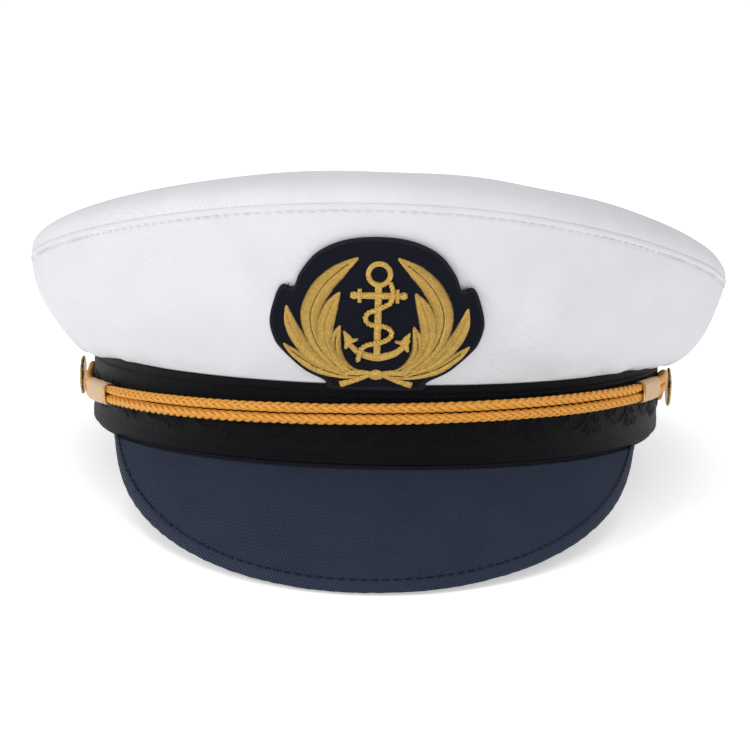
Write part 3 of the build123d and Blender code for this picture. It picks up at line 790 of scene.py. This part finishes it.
def visor_point(x, y, depth):
    """The visor's face, sunk by depth, at x and y."""
    root = oval_front(x, BRAID_FACE - 0.803 * depth) + SLOPE_SIN * 0.463 * depth
    z = -SLOPE_COS * 0.463 * depth - (root - y) * SLOPE_SIN / SLOPE_COS
    return np.stack([x, y, np.minimum(z, 0.16 - 0.9 * depth)], -1)


def visor_cloth(points):
    """Cloth coordinates of the visor laid flat: across it, and up its slope."""
    x = np.linspace(-100, 100, 2001)
    curve = oval_front(x, BRAID_FACE) * SLOPE_SIN
    run = np.concatenate([[0], np.cumsum(np.hypot(np.diff(x), np.diff(curve)))])
    run -= run[1000]
    up = points[..., 1] * SLOPE_COS + points[..., 2] * SLOPE_SIN
    return np.stack([np.interp(points[..., 0], x, run), up], -1)


def visor_edge(share, inset):
    """x and y of the visor's outline, moved in by inset; share runs -1 to 1 from corner to corner."""
    def outline(angle, inset):
        s, c, power = np.sin(angle), np.cos(angle), 2 / VISOR_POWER
        x = (VISOR_WIDTH - inset) * np.sign(s) * np.abs(s) ** power
        return x - VISOR_LEAN * c**2, VISOR_CENTRE - (VISOR_LENGTH - inset) * c**power

    angle = np.linspace(0, 1.55, 2000)
    x, y = outline(angle, 0)
    corner = angle[np.argmax(y > oval_front(x, BRAID_FACE - 2.5))]
    return outline(share * corner, inset * (0.78 - 0.2 * share**2))


def visor_sheet(name, top, bottom, inset, relief, material, slot_name, replaces):
    """A layer of the visor between two depths, from the band to its outline."""
    edge_x, edge_y = visor_edge(np.linspace(-1, 1, count(220)), inset)
    root_y = np.maximum(oval_front(edge_x, BRAID_FACE - 2.4), edge_y + 0.05)
    share = np.linspace(0, 1, count(70))
    y = root_y[:, None] + (edge_y - root_y)[:, None] * share
    x = np.broadcast_to(edge_x[:, None], y.shape)
    thinning = 1 - 0.15 * smoothstep(share, 0.72, 0.97)
    upper, lower = [visor_point(x, y, depth * thinning) for depth in sorted((top, bottom))]
    upper = upper + VISOR_UP * (relief(x, y) * smoothstep(share, 0.06, 0.2))[..., None]
    shell = np.concatenate([upper, lower[:, ::-1]], 1)
    uv = wrapped(visor_cloth(shell), (False, True))
    piece = capped_ring(name, shell, uv, material, "cap", slot_name, replaces=replaces)
    fix_normals(piece)


def visor_layers():
    """The visor's covered board: cloth on top, the board, and the lining underneath."""
    thick = VISOR_THICK
    cover, lining_cloth, core = ("visor_top_cover",), ("visor_under_cover",), ("visor_core",)
    visor_sheet("visor_top_cloth", 0.0, thick * 0.18, 1.3, visor_ripple, NAVY, "visor_cloth", cover)
    visor_sheet(
        "visor_lining_cloth", thick - 0.5, thick, 1.3, visor_flat, UNDERSIDE, "visor_lining", lining_cloth,
    )
    visor_sheet("visor_board_sheet", 0.55, thick - 0.55, 1.5, visor_flat, BOARD, "visor_board", core)


def visor_binding():
    """The strip folded round the visor's edge."""
    share = np.linspace(-1, 1, count(900))
    low = VISOR_BOTTOM
    # Its section, as pairs of inset and depth: over the top, round the edge, and back underneath.
    above = [(1.6, 0.25), (1.6, -0.02), (1.5, -0.10), (1.1, -0.14), (0.6, -0.10), (0.3, 0.05)]
    edge = [(0.08, 0.5), (0.0, 1.2), (0.0, 1.4), (0.08, 1.7), (0.3, low - 0.05)]
    below = [(0.8, low + 0.16), (1.5, low + 0.18), (2.0, low + 0.12), (2.2, low + 0.02)]
    inside = [(2.2, low - 0.25), (1.4, low - 0.4), (1.1, 1.0), (1.3, 0.4)]
    rings = []
    pull = ripple(51, 3, 8)
    for k, (inset, depth) in enumerate(above + edge + below + inside):
        x, y = visor_edge(share, inset)
        wave = 0.05 * pull(x, y) if 1 < k < 14 else 0
        rings.append(visor_point(x, y, depth - wave))
    shell = np.stack(rings, 1)
    uv = visor_cloth(shell) - np.stack([np.zeros(len(rings)), 0.35 * np.arange(len(rings))], -1)
    uv = wrapped(uv, (False, True))
    replaced = ("visor_edge_binding",)
    piece = capped_ring("visor_binding", shell, uv, NAVY, "cap", "visor_cloth", replaces=replaced)
    fix_normals(piece)
    for label, inset, depth, side in (("top", 1.1, -0.13, 1), ("under", 1.8, low + 0.16, -1)):
        x, y = visor_edge(np.linspace(-0.995, 0.995, 900), inset)
        path = visor_point(x, y, depth)
        out = np.broadcast_to(VISOR_UP * side, path.shape)
        name = f"visor_stitches_{label}"
        stitches(name, path, out, 2.2, 0.9, 0.2, NAVY_THREAD, "cap", "visor_cloth", closed=False)


# --- chin cord --------------------------------------------------------------------------------------
def strap_height(x, y):
    return BUTTON_HEIGHT + STRAP_RISE - y * math.tan(STRAP_PITCH) + x * math.tan(STRAP_ROLL)


def cord_path():
    """The cord's closed centre line: the upper strand, the turn round the right shank, the lower strand
    and the turn round the left shank."""
    ends = math.pi / 2 - LOOP_START
    turns, _ = even_turns(900, CORD_OFFSET, -ends, ends, endpoint=True)
    forward = 90 - np.degrees(np.abs(turns))
    # The cord lies nearer the band behind the keepers and round the front.
    in_front = smoothstep(forward, 32, 44)
    x, y = oval(turns, CORD_OFFSET - 0.9 * (1 - smoothstep(forward, 9.5, 17)) - 0.35 * in_front)
    z = strap_height(x, y)
    apart = STRAND_SPACING / 2 + 0.17 * in_front
    upper = np.stack([x, y, z + apart], -1)
    lower = np.stack([x, y, z - apart], -1)[::-1]

    def shank_turn(sign):
        angle = np.radians(np.linspace(100, -100, 60))
        back, up = LOOP_RADIUS * np.cos(angle), LOOP_RADIUS * np.sin(angle)
        return np.stack([sign * (LOOP_X + back * math.sin(LOOP_LEAN)), back, BUTTON_HEIGHT + up], -1)

    corners = np.concatenate([upper, shank_turn(1), lower, shank_turn(-1)[::-1]])
    pitch = 0.35
    return smooth_closed(resampled(corners, pitch), 1.5 / pitch)


def resampled(points, pitch):
    """A closed line sampled evenly."""
    points = np.vstack([points, points[:1]])
    run = np.concatenate([[0], np.cumsum(np.linalg.norm(np.diff(points, axis=0), axis=1))])
    number = round(run[-1] / pitch)
    at = np.arange(number) * run[-1] / number
    return np.stack([np.interp(at, run, points[:, k]) for k in range(3)], -1)


def smooth_closed(path, sigma):
    """A closed line averaged with its neighbours; sigma counts samples."""
    reach = int(4 * sigma)
    weights = np.exp(-0.5 * (np.arange(-reach, reach + 1) / sigma) ** 2)
    weights /= weights.sum()
    return sum(w * np.roll(path, k, axis=0) for w, k in zip(weights, range(-reach, reach + 1)))


def across_cord(path, along):
    """The direction across the cord that points away from the cap, all along its path."""
    square = np.array([0.0, 0.0, 1.0]) - along * along[:, 2:3]
    near_shank = np.abs(along[:, 2]) > 0.9
    sideways = np.array([1.0, 0, 0]) - along * along[:, :1]
    side = unit(np.where(near_shank[:, None], sideways, np.cross(along, square)))
    outwards = np.sign((side * unit(path * (1, 1, 0))).sum(1))[:, None]
    side = unit(smooth_closed(side * outwards, 4))
    return unit(side - along * (side * along).sum(1, keepdims=True))


def cord_squeeze(path):
    """How much the cord is squeezed in the keepers and round the shanks, as a factor on its thickness."""
    x, y = path[:, 0], path[:, 1]
    held = smoothstep(np.abs(x), 88.5, 93.0) * (y > -14)
    for name, sign in (("right", 1), ("left", -1)):
        forward = np.degrees(np.arctan2(-y, sign * x + SIDE_CENTRE))
        first, last = KEEPER_SPANS[name]
        span = smoothstep(forward, first - 2.2, first - 0.6)
        span = span * (1 - smoothstep(forward, last + 0.6, last + 2.2))
        held = np.maximum(held, span * (sign * x > 0))
    return 1 - 0.15 * held


def chin_cord():
    """A round braid of eight yarns, each a flat bundle that goes over two and under two."""
    path = cord_path()
    step = np.linalg.norm(path - np.roll(path, 1, 0), axis=1)
    run = np.cumsum(step) - step[0]
    length = step.sum()
    lay = length / round(length / 11.2)
    along = unit(np.roll(path, -1, 0) - np.roll(path, 1, 0))
    side = across_cord(path, along)
    other = np.cross(along, side)
    squeeze = cord_squeeze(path)
    loose = 1 + 0.035 * ripple(61, 9, 30)(run)
    radius, wave = 0.90, 0.30
    centres, outward = [], []
    for hand in (1, -1):
        for k in range(4):
            phi = k * math.pi / 2 + hand * 2 * math.pi * run / lay
            r = (radius + hand * wave * np.cos(2 * phi - math.pi / 4)) * squeeze * loose
            spoke = np.cos(phi)[:, None] * side + np.sin(phi)[:, None] * other
            centres.append(path + r[:, None] * spoke)
            outward.append(spoke)
    ribbon_tubes(
        "chin_cord_braid", np.array(centres), np.array(outward), 0.66 * squeeze, 0.38 * squeeze, True,
        CORD, "chin_cord", "gold_cord", sides=8, uv_turns=3.4,
        replaces=("chin_cord_upper", "chin_cord_lower", "right_chin_loop", "left_chin_loop"),
    )


def rounded_box(half_width, half_height, corner):
    """Points round a box with rounded corners, as pairs of width and height."""
    section = []
    for cx, cz, start in ((1, 1, 0), (-1, 1, 90), (-1, -1, 180), (1, -1, 270)):
        for angle in np.radians(np.linspace(start, start + 90, count(9))):
            width = cx * (half_width - corner) + corner * math.cos(angle)
            section.append((width, cz * (half_height - corner) + corner * math.sin(angle)))
    return np.array(section)


def keeper_bands():
    """The keepers' cloth sleeves, round the cord."""
    section = rounded_box(1.97, 3.42, 1.87)
    out, up = section[None, :, 0], section[None, :, 1]
    wrinkle = ripple(71, 2, 5)
    for name, sign in (("right", 1), ("left", -1)):
        first, last = KEEPER_SPANS[name]
        forward = np.radians(np.linspace(first + 0.05, last - 0.05, count(40)))[:, None]

        def placed(out, up):
            radius = SIDE_RADIUS + CORD_OFFSET + out
            x, y = sign * (radius * np.cos(forward) - SIDE_CENTRE), -radius * np.sin(forward)
            return np.stack([x, y, up + strap_height(x, y)], -1)

        grow = 0.06 * bump(np.linspace(-1, 1, len(forward)), 0, 0.5)[:, None]
        grow = grow + 0.035 * wrinkle(np.degrees(forward) * 2, np.arange(len(section))[None, :] * 0.6)
        skin = placed(out + grow * np.sign(out), up + grow * np.sign(up))
        shell = np.concatenate([skin, placed(out * 0.90, up * 0.94)[::-1]], 0)
        u, v = np.meshgrid(np.arange(len(shell) + 1) * 0.45, np.arange(len(section) + 1) * 0.5, indexing="ij")
        piece = grid_piece(
            f"{name}_keeper_cloth", shell, (True, True), np.stack([u, v], -1), SATIN,
            f"{name}_keeper", "keeper_cloth", replaces=(f"{name}_keeper_sleeve",),
        )
        fix_normals(piece)


# --- side buttons -----------------------------------------------------------------------------------
def side_buttons():
    """Small brass buttons: a flat back, a rolled rim, a ring of rope and a domed middle with petals."""
    rolled = [(0.3, 0.05), (5.6, 0.0), (6.25, 0.12), (6.45, 0.45), (6.25, 0.85), (5.8, 0.95), (5.5, 0.8)]
    back_radii, back_height = np.transpose(rolled)
    radii = np.linspace(5.4, 0.15, count(46))
    angle = np.linspace(0, 2 * math.pi, count(360), endpoint=False)[:, None]
    twist = 0.5 + 0.5 * np.cos(30 * angle + radii * 5)
    petals = np.clip(np.cos(3 * angle) ** 2 - ((radii - 1.9) / 1.9) ** 2 * 0.9, 0, 1)
    face = 0.65 + 0.75 * (1 - (radii / 5.6) ** 2) + 0.3 * bump(radii, 4.75, 0.35) * (0.55 + 0.45 * twist)
    face = face + 0.16 * petals + 0.16 * bump(radii, 0, 0.6)
    height = np.concatenate([back_height + 0 * angle, face], 1)
    radii = np.concatenate([back_radii, radii])
    for name, sign in (("right", 1), ("left", -1)):
        x = sign * (BUTTON_BACK + 0.35 + height)
        points = np.stack([x, radii * np.cos(angle), BUTTON_HEIGHT + radii * np.sin(angle)], -1)
        u, v = np.meshgrid(np.arange(len(points) + 1) * 0.1, radii, indexing="ij")
        grid_piece(
            f"{name}_button_face", points, (True, False), np.stack([u, v], -1), BRASS,
            f"{name}_button", "brass", flip=sign < 0, replaces=(f"{name}_button",),
        )


# --- badge ------------------------------------------------------------------------------------------
def on_crown_front(x, height):
    """The point of the crown's front at x and that height above the band, and the outward direction."""
    x, z = np.asarray(x, float), BAND_TOP + np.asarray(height, float)
    turn, level = np.arcsin(np.clip(x / 98, -1, 1)), np.clip((z - 24.8) / 54, 0.01, 1)
    small = 1e-4
    for _ in range(8):
        here = crown_surface(turn, level)
        by_turn = (crown_surface(turn + small, level) - here) / small
        by_level = (crown_surface(turn, level + small) - here) / small
        ex, ez = x - here[..., 0], z - here[..., 2]
        scale = by_turn[..., 0] * by_level[..., 2] - by_turn[..., 2] * by_level[..., 0]
        turn = turn + (ex * by_level[..., 2] - ez * by_level[..., 0]) / scale
        level = np.clip(level + (ez * by_turn[..., 0] - ex * by_turn[..., 2]) / scale, 0.0, 0.999)
    point = crown_surface(turn, level)
    outward = unit(np.cross(by_turn, by_level))
    point[..., 2] = z
    return point, outward


BADGE_LIFT = 0.55                           # clear of the crown cloth
FELT_TOP = BADGE_LIFT + 1.0


def badge_place(x, height, lift):
    point, outward = on_crown_front(x, height)
    return point + outward * np.asarray(lift)[..., None]


def spline(points, number, closed=False):
    """A smooth line through points (Catmull-Rom), evenly sampled, with the distance run along it."""
    points = np.asarray(points, float)
    if closed:
        ring = np.vstack([points[-1:], points, points[:2]])
    else:
        ring = np.vstack([2 * points[0] - points[1], points, 2 * points[-1] - points[-2]])
    t = np.linspace(0, 1, 40, endpoint=False)[:, None]
    pieces = []
    for a, b, c, d in zip(ring, ring[1:], ring[2:], ring[3:]):
        curved = (2 * a - 5 * b + 4 * c - d) * t**2 + (3 * b - a - 3 * c + d) * t**3
        pieces.append(0.5 * (2 * b + (c - a) * t + curved))
    line = np.vstack(pieces + ([ring[1:2]] if closed else [ring[-2:-1]]))
    run = np.concatenate([[0], np.cumsum(np.linalg.norm(np.diff(line, axis=0), axis=1))])
    at = np.linspace(0, run[-1], number, endpoint=not closed)
    return np.stack([np.interp(at, run, line[:, k]) for k in range(line.shape[1])], -1), at


# The badge's outline on the +X side, from its top to its foot, as x and height above the band.
BADGE_TOP, BADGE_FOOT, BADGE_MIDDLE = (0, 44.3), (0, -0.5), (0, 18.5)
BADGE_SIDE = [
    (9.5, 43.2), (17.0, 39.6), (21.6, 34.0), (23.2, 30.0), (24.3, 29.3), (26.8, 29.9), (28.5, 27.2),
    (30.3, 20.0), (29.2, 14.5), (26.9, 11.0), (20.7, 5.3), (15.2, 2.4), (13.2, 0.6), (13.1, -0.4),
]


def badge_cloth():
    """The badge's felt."""
    side = np.array(BADGE_SIDE)
    outline = np.vstack([[BADGE_TOP], side, [BADGE_FOOT], side[::-1] * (-1, 1)])
    line, run = spline(outline, count(1300), closed=True)
    middle = np.array(BADGE_MIDDLE, float)
    share = np.concatenate([np.linspace(0.02, 0.95, count(34)), [0.985, 1.0]])
    flat = middle + (line - middle)[:, None] * share[None, :, None]
    fuzz = 0.03 * ripple(81, 0.6, 2.0, 24)(flat[..., 0], flat[..., 1])
    top = badge_place(flat[..., 0], flat[..., 1], FELT_TOP - 0.05 + fuzz)
    under = badge_place(flat[..., 0], flat[..., 1], np.full(fuzz.shape, BADGE_LIFT))
    shell = np.concatenate([top, under[:, ::-1]], 1)
    uv = wrapped(np.concatenate([flat, flat[:, ::-1]], 1), (True, True))
    piece = grid_piece(
        "badge_felt_cloth", shell, (True, True), uv, BADGE_CLOTH, "cap", "badge_felt",
        replaces=("badge_felt",),
    )
    fix_normals(piece)
    badge_border(line, run, middle)


def badge_border(line, run, middle):
    """The oversewn edge of the felt: threads wound across a low ridge."""
    tangent = unit(np.roll(line, -1, 0) - np.roll(line, 1, 0))
    inward = np.stack([tangent[:, 1], -tangent[:, 0]], -1)
    inward *= np.sign(((middle - line) * inward).sum(1, keepdims=True))
    across = np.linspace(-1, 1, count(14))
    half_width, thread_pitch = 0.55, 0.52
    edge = line[:, None] + inward[:, None] * (half_width * (0.75 + across))[None, :, None]
    rounded = np.sqrt(np.clip(1 - across**2, 0, 1))
    ridge = 0.5 + 0.5 * np.cos(2 * math.pi * (run[:, None] + 0.15 * across) / thread_pitch)
    lift = FELT_TOP - 0.3 + 0.42 * rounded + 0.1 * ridge * rounded
    top = badge_place(edge[..., 0], edge[..., 1], lift)
    base = badge_place(edge[:, ::-1, 0], edge[:, ::-1, 1], np.full(lift.shape, BADGE_LIFT + 0.1))
    shell = np.concatenate([top, base], 1)
    around = np.append(run, 2 * run[-1] - run[-2])
    u, v = np.meshgrid(around, np.arange(shell.shape[1] + 1) * 0.15, indexing="ij")
    uv = np.stack([v, u], -1)
    piece = grid_piece("badge_border", shell, (True, True), uv, BADGE_EDGE, "cap", "badge_felt")
    fix_normals(piece)


class Embroidery:
    """Gold thread worked in satin stitch, gathered into one piece."""

    def __init__(self, name, replaces):
        self.name, self.replaces = name, replaces
        self.points, self.faces, self.uv, self.total = [], [], [], 0

    def stroke(
        self, line, width, slant=0.5, groove=0.0, height=0.62, base=0.0, pointed=(True, True), serrate=0.0
    ):
        """A band of threads along a line. width is the full width or pairs (share, width); slant turns the
        threads, as the distance they run along the line for each mm across; groove parts them in the
        middle, slanting both ways."""
        pitch = 0.42
        length = np.linalg.norm(np.diff(np.asarray(line, float), axis=0), axis=1).sum()
        samples = max(12, count(length / 0.11))
        centre, run = spline(line, samples)
        if np.ndim(width):
            full = np.interp(run / run[-1], *np.transpose(width))
        else:
            full = np.full(samples, float(width))
        tangent = unit(np.gradient(centre, axis=0))
        normal = np.stack([-tangent[:, 1], tangent[:, 0]], -1)
        across = np.linspace(-1, 1, max(9, count(17)))
        v = across[None, :] * full[:, None] / 2
        phase = (run[:, None] + slant * (np.abs(v) if groove else v)) / pitch
        threads = 0.5 + 0.5 * np.cos(2 * math.pi * phase)
        teeth = 1 + serrate * (threads - 0.5)
        flat = centre[:, None] + normal[:, None] * (v * teeth)[..., None]
        dome = np.sqrt(np.clip(1 - across**2, 0, 1))[None, :] ** 0.8
        ends = np.ones(samples)
        for from_end, is_pointed in zip((run, run[-1] - run), pointed):
            if is_pointed:
                ends = ends * np.sqrt(smoothstep(from_end, 0, 0.8) + 0.02)
        dome = dome * ends[:, None]
        rise = height * dome
        if groove:
            part = groove * bump(v, 0, 0.34) * smoothstep(run, 1.0, 4.0)[:, None]
            rise = rise * (1 - part) - 0.14 * part
        lump = 0.07 * ripple(len(self.faces) + 91, 0.7, 2.2, 18)(flat[..., 0], flat[..., 1])
        raised = rise > 0.05
        lift = FELT_TOP - 0.06 + base * raised + rise + (0.13 * threads + lump) * dome * raised
        top = badge_place(flat[..., 0], flat[..., 1], lift)
        floor = np.full(lift.shape, FELT_TOP - 0.1 + base * 0.9)
        low = badge_place(flat[:, ::-1, 0], flat[:, ::-1, 1], floor)
        shell = np.concatenate([top, low], 1)
        nu, nv = shell.shape[:2]
        quads, rows, columns = grid_faces(nu, nv, False, True)
        strip = cap_strip(nv)
        caps = np.concatenate([strip, strip[:, ::-1] + (nu - 1) * nv])
        # The threads run across the band, so the cloth coordinate along them comes first.
        side = np.concatenate([v, v[:, ::-1], v[:, :1]], 1)[rows, columns]
        uv = np.stack([side, run[rows] + slant * np.abs(side)], -1)
        self.faces.append(np.concatenate([quads, caps]) + self.total)
        self.uv += [uv.reshape(-1, 2), np.zeros((caps.size, 2))]
        self.points.append(shell.reshape(-1, 3))
        self.total += nu * nv

    def done(self):
        points, faces, uv = np.vstack(self.points), [np.concatenate(self.faces)], np.concatenate(self.uv)
        piece = mesh_piece(self.name, points, faces, uv, GOLD, "cap", "gold_thread", replaces=self.replaces)
        fix_normals(piece)


# Centre lines of the leaves on the -X side, tip to root, and their widths.
LEAVES = [
    ([
        (-5.6, 38.6), (-10.2, 35.2), (-14.8, 30.7), (-18.1, 24.8), (-18.7, 18.9), (-16.0, 11.7), (-9.4, 5.3),
    ], 5.4),
    ([(-10.6, 28.6), (-13.1, 23.9), (-14.6, 18.0), (-13.6, 11.7), (-7.7, 4.9)], 4.6),
    ([(-10.4, 18.8), (-11.6, 14.6), (-11.4, 10.8), (-9.0, 7.0), (-4.4, 4.4)], 3.3),
    ([(-25.6, 24.2), (-24.2, 18.4), (-20.9, 12.9), (-16.0, 8.0), (-7.7, 4.2)], 3.9),
    ([(-26.4, 12.9), (-22.6, 9.6), (-16.8, 5.9), (-9.4, 3.9), (-3.6, 4.0)], 3.0),
]
LEAF_PROFILE = [
    (0, 0.12), (0.06, 0.42), (0.16, 0.78), (0.32, 1.0), (0.5, 1.0), (0.7, 0.75), (0.85, 0.5), (1, 0.4),
]


def wreath(sign):
    """One side of the wreath; sign is 1 for the leaves on the -X side."""
    side = "left" if sign > 0 else "right"
    work = Embroidery(f"badge_leaves_{side}", (f"badge_wreath_{side}",))
    for index, (line, width) in enumerate(LEAVES):
        shape = np.array(line) * (sign, 1)
        widths = [(s, width * w) for s, w in LEAF_PROFILE]
        work.stroke(shape, widths, slant=-1.1, groove=1.0, base=0.12 * (index % 2), serrate=0.25)
    work.done()


def anchor():
    """The anchor: ring, shank, stock, arms and barbs."""
    work = Embroidery("badge_anchor_work", ("badge_anchor",))
    angle = np.linspace(0, 2 * math.pi, 40)
    ring = np.stack([0.4 + 3.05 * np.cos(angle), 34.0 + 3.05 * np.sin(angle)], -1)
    work.stroke(ring, 1.5, slant=0.3, pointed=(False, False))
    work.stroke([(0.25, 31.4), (0.25, 22.0), (0.1, 9.6)], 2.0, slant=0.35, base=0.05, pointed=(False, True))
    stock = [(0, 1.3), (0.06, 2.2), (0.12, 1.6), (0.5, 1.9), (0.88, 1.6), (0.94, 2.2), (1, 1.3)]
    work.stroke([(-7.6, 27.9), (0.3, 27.9), (8.3, 27.9)], stock, slant=0.25, base=0.3)
    for x in (-5.0, 5.5):
        work.stroke([(x, 25.9), (x, 27.9), (x, 29.9)], 1.1, slant=0.2, base=0.55)
    arms = [(-8.6, 14.9), (-7.0, 12.7), (-4.2, 10.6), (0.1, 9.6), (4.6, 10.6), (7.5, 12.8), (9.2, 15.0)]
    work.stroke(arms, [(0, 1.1), (0.25, 1.8), (0.5, 2.2), (0.75, 1.8), (1, 1.1)], slant=0.3, base=0.1)
    for outer_barb, inner_barb in (
        ([(-9.3, 17.3), (-8.0, 14.6), (-8.8, 12.0)], [(-5.2, 14.9), (-7.2, 14.4), (-8.6, 13.6)]),
        ([(9.4, 17.0), (8.1, 14.2), (8.9, 11.4)], [(5.1, 14.5), (7.2, 14.0), (8.7, 13.2)]),
    ):
        work.stroke(outer_barb, [(0, 0.4), (0.5, 2.4), (1, 0.7)], slant=0.3, base=0.25)
        work.stroke(inner_barb, [(0, 0.4), (1, 2.0)], slant=0.3, base=0.25)
    work.done()


# The rope down the anchor: x, height above the band, and how far it stands off.
ROPE = [
    (3.5, 31.8, 0.5), (4.2, 29.6, 0.9), (4.0, 27.4, 1.1), (3.3, 25.8, 0.6), (0.1, 24.2, 1.0),
    (-2.4, 23.1, 0.6), (-3.3, 21.4, 0.35), (-2.4, 19.8, 0.2), (-0.9, 19.2, -0.1), (0.9, 19.0, -0.2),
    (2.4, 18.8, 0.1), (4.0, 17.7, 0.35), (3.8, 15.9, 0.4), (1.9, 14.8, 0.8), (0.1, 14.3, 1.0),
    (-2.6, 13.6, 0.7), (-4.2, 12.4, 0.7), (-4.8, 10.8, 0.9), (-5.2, 8.7, 0.4),
]


def rope():
    """Two plies twisted round each other down the rope's line."""
    line, run = spline(ROPE, count(700))
    flat = line[:, :2]
    tangent = unit(np.gradient(flat, axis=0))
    normal = np.stack([-tangent[:, 1], tangent[:, 0]], -1)
    lay = 2.1
    centres = []
    for ply in range(2):
        turn = 2 * math.pi * run / lay + ply * math.pi
        place = flat + normal * (0.34 * np.cos(turn))[:, None]
        lift = FELT_TOP + 0.25 + line[:, 2] * 0.75 + 0.3 * np.sin(turn)
        centres.append(badge_place(place[:, 0], place[:, 1], lift))
    _, outward = on_crown_front(flat[:, 0], flat[:, 1])
    ribbon_tubes(
        "badge_rope_twist", np.array(centres), np.array([outward, outward]), 0.42, 0.36, False,
        GOLD, "cap", "gold_thread", sides=10, uv_turns=2.2, replaces=("badge_rope",),
    )


def knot():
    """The bow that ties the wreath."""
    work = Embroidery("badge_knot_work", ("badge_knot",))
    end_widths, bow_widths = [(0, 1.7), (0.3, 1.2), (1, 1.0)], [(0, 1.1), (0.6, 1.4), (1, 0.8)]
    for sign in (1, -1):
        end = [(sign * 10.2, 1.2), (sign * 6.0, 2.6), (sign * 1.5, 4.6)]
        bow = [(sign * 1.0, 4.6), (sign * 4.5, 5.0), (sign * 8.6, 4.6)]
        work.stroke(end, end_widths, slant=0.4, base=0.45)
        work.stroke(bow, bow_widths, slant=0.4, base=0.3)
    middle_widths = [(0, 1.6), (0.5, 3.0), (1, 1.6)]
    work.stroke([(-1.9, 4.3), (0, 4.5), (1.9, 4.3)], middle_widths, slant=0.2, base=0.6, height=0.7)
    work.done()


def badge():
    badge_cloth()
    for sign in (1, -1):
        wreath(sign)
    anchor()
    rope()
    knot()


# --- the design's own pieces that stay on show -------------------------------------------------------
def dress():
    """Better materials for the design's own pieces, by their slots."""
    looks = {
        "band_board": BOARD, "visor_board": BOARD, "stay_plastic": SHEET, "brass": BRASS,
        "band_cloth": MATT_BLACK,
    }
    for node in list(bpy.data.objects):
        if node.type != "MESH":
            continue
        for holder in node.material_slots:
            base = holder.material.name.split(".")[0] if holder.material else ""
            if base in looks:
                holder.material = BRIGHT_BRASS if "keeper_liner" in node.name else looks[base]


# --- camera, light and floor ------------------------------------------------------------------------
VIEW_DISTANCE, VIEW_HEIGHT, VIEW_ROLL = 800.0, math.radians(8.5), math.radians(1.2)
VIEW_LIFT = math.radians(1.03)              # how far above the origin the picture's middle lies
FOCAL_SHARE = 3.2                           # focal length over the picture's width
FLOOR_HALF = 4.0                            # metres, as are the places and sizes of the lights
LIGHTS = (
    ("top_light", (-0.1, 0.0, 1.4), 1.0, 3.8),
    ("left_light", (-1.1, -0.9, 0.75), 0.3, 6.0),
    ("front_light", (0.7, -1.5, 0.7), 0.4, 3.7),
)


def add(name, data):
    holder = bpy.data.objects.new(name, data)
    bpy.context.scene.collection.objects.link(holder)
    return holder


def camera():
    """A view from the front and slightly above, aimed a little over the origin."""
    forward = math.cos(VIEW_HEIGHT) * BACK - math.sin(VIEW_HEIGHT) * UP
    above = math.sin(VIEW_HEIGHT) * BACK + math.cos(VIEW_HEIGHT) * UP
    right = RIGHT * math.cos(VIEW_ROLL) + above * math.sin(VIEW_ROLL)
    place = ORIGIN - MM * VIEW_DISTANCE * forward
    lifted = Matrix.Rotation(VIEW_LIFT, 3, right.tolist()) @ Vector(forward.tolist())
    forward = np.array(lifted)
    above = np.cross(right, forward)
    lens = bpy.data.cameras.new("camera")
    lens.lens = lens.sensor_width * FOCAL_SHARE
    holder = add("camera", lens)
    turn = Matrix([right.tolist(), above.tolist(), (-forward).tolist()]).transposed().to_4x4()
    holder.matrix_world = Matrix.Translation(place.tolist()) @ turn
    bpy.context.scene.camera = holder


def floor():
    corners = [(x * FLOOR_HALF, y * FLOOR_HALF, 0) for x, y in ((-1, -1), (1, -1), (1, 1), (-1, 1))]
    mesh = bpy.data.meshes.new("floor")
    mesh.from_pydata(corners, [], [(0, 1, 2, 3)])
    paper = Surface("floor_paper")
    paper.shader.inputs["Emission Color"].default_value = (1, 1, 1, 1)
    paper.shader.inputs["Emission Strength"].default_value = 0.42
    mesh.materials.append(paper.finish((0.95, 0.95, 0.95), 0.9, specular=0.1))
    add("floor", mesh)


def sky():
    """White all round at the level of the floor, dimmer overhead."""
    backdrop = bpy.data.worlds.new("sky")
    backdrop.use_nodes = True
    nodes, links = backdrop.node_tree.nodes, backdrop.node_tree.links
    nodes["Background"].inputs["Color"].default_value = (1, 1, 1, 1)
    height = nodes.new("ShaderNodeSeparateXYZ")
    dim = nodes.new("ShaderNodeMapRange")
    for key, value in (("From Min", 0.12), ("From Max", 0.6), ("To Min", 0.72), ("To Max", 0.58)):
        dim.inputs[key].default_value = value
    links.new(nodes.new("ShaderNodeTexCoord").outputs["Generated"], height.inputs[0])
    links.new(height.outputs["Z"], dim.inputs["Value"])
    links.new(dim.outputs[0], nodes["Background"].inputs["Strength"])
    bpy.context.scene.world = backdrop


def lights():
    for name, spot, size, power in LIGHTS:
        light = bpy.data.lights.new(name, "AREA")
        light.size, light.energy = size, power
        lamp = add(name, light)
        aim = Vector((0, 0, 0.05)) - Vector(spot)
        lamp.rotation_euler = aim.to_track_quat("-Z", "Y").to_euler()
        lamp.location = spot
    bpy.context.scene.view_settings.view_transform = "Standard"


for make in (
    crown, braid_band, sweat_leather, rim_stitches, lining, visor_layers, visor_binding, chin_cord,
    keeper_bands, side_buttons, badge, dress, camera, floor, sky, lights,
):
    make()
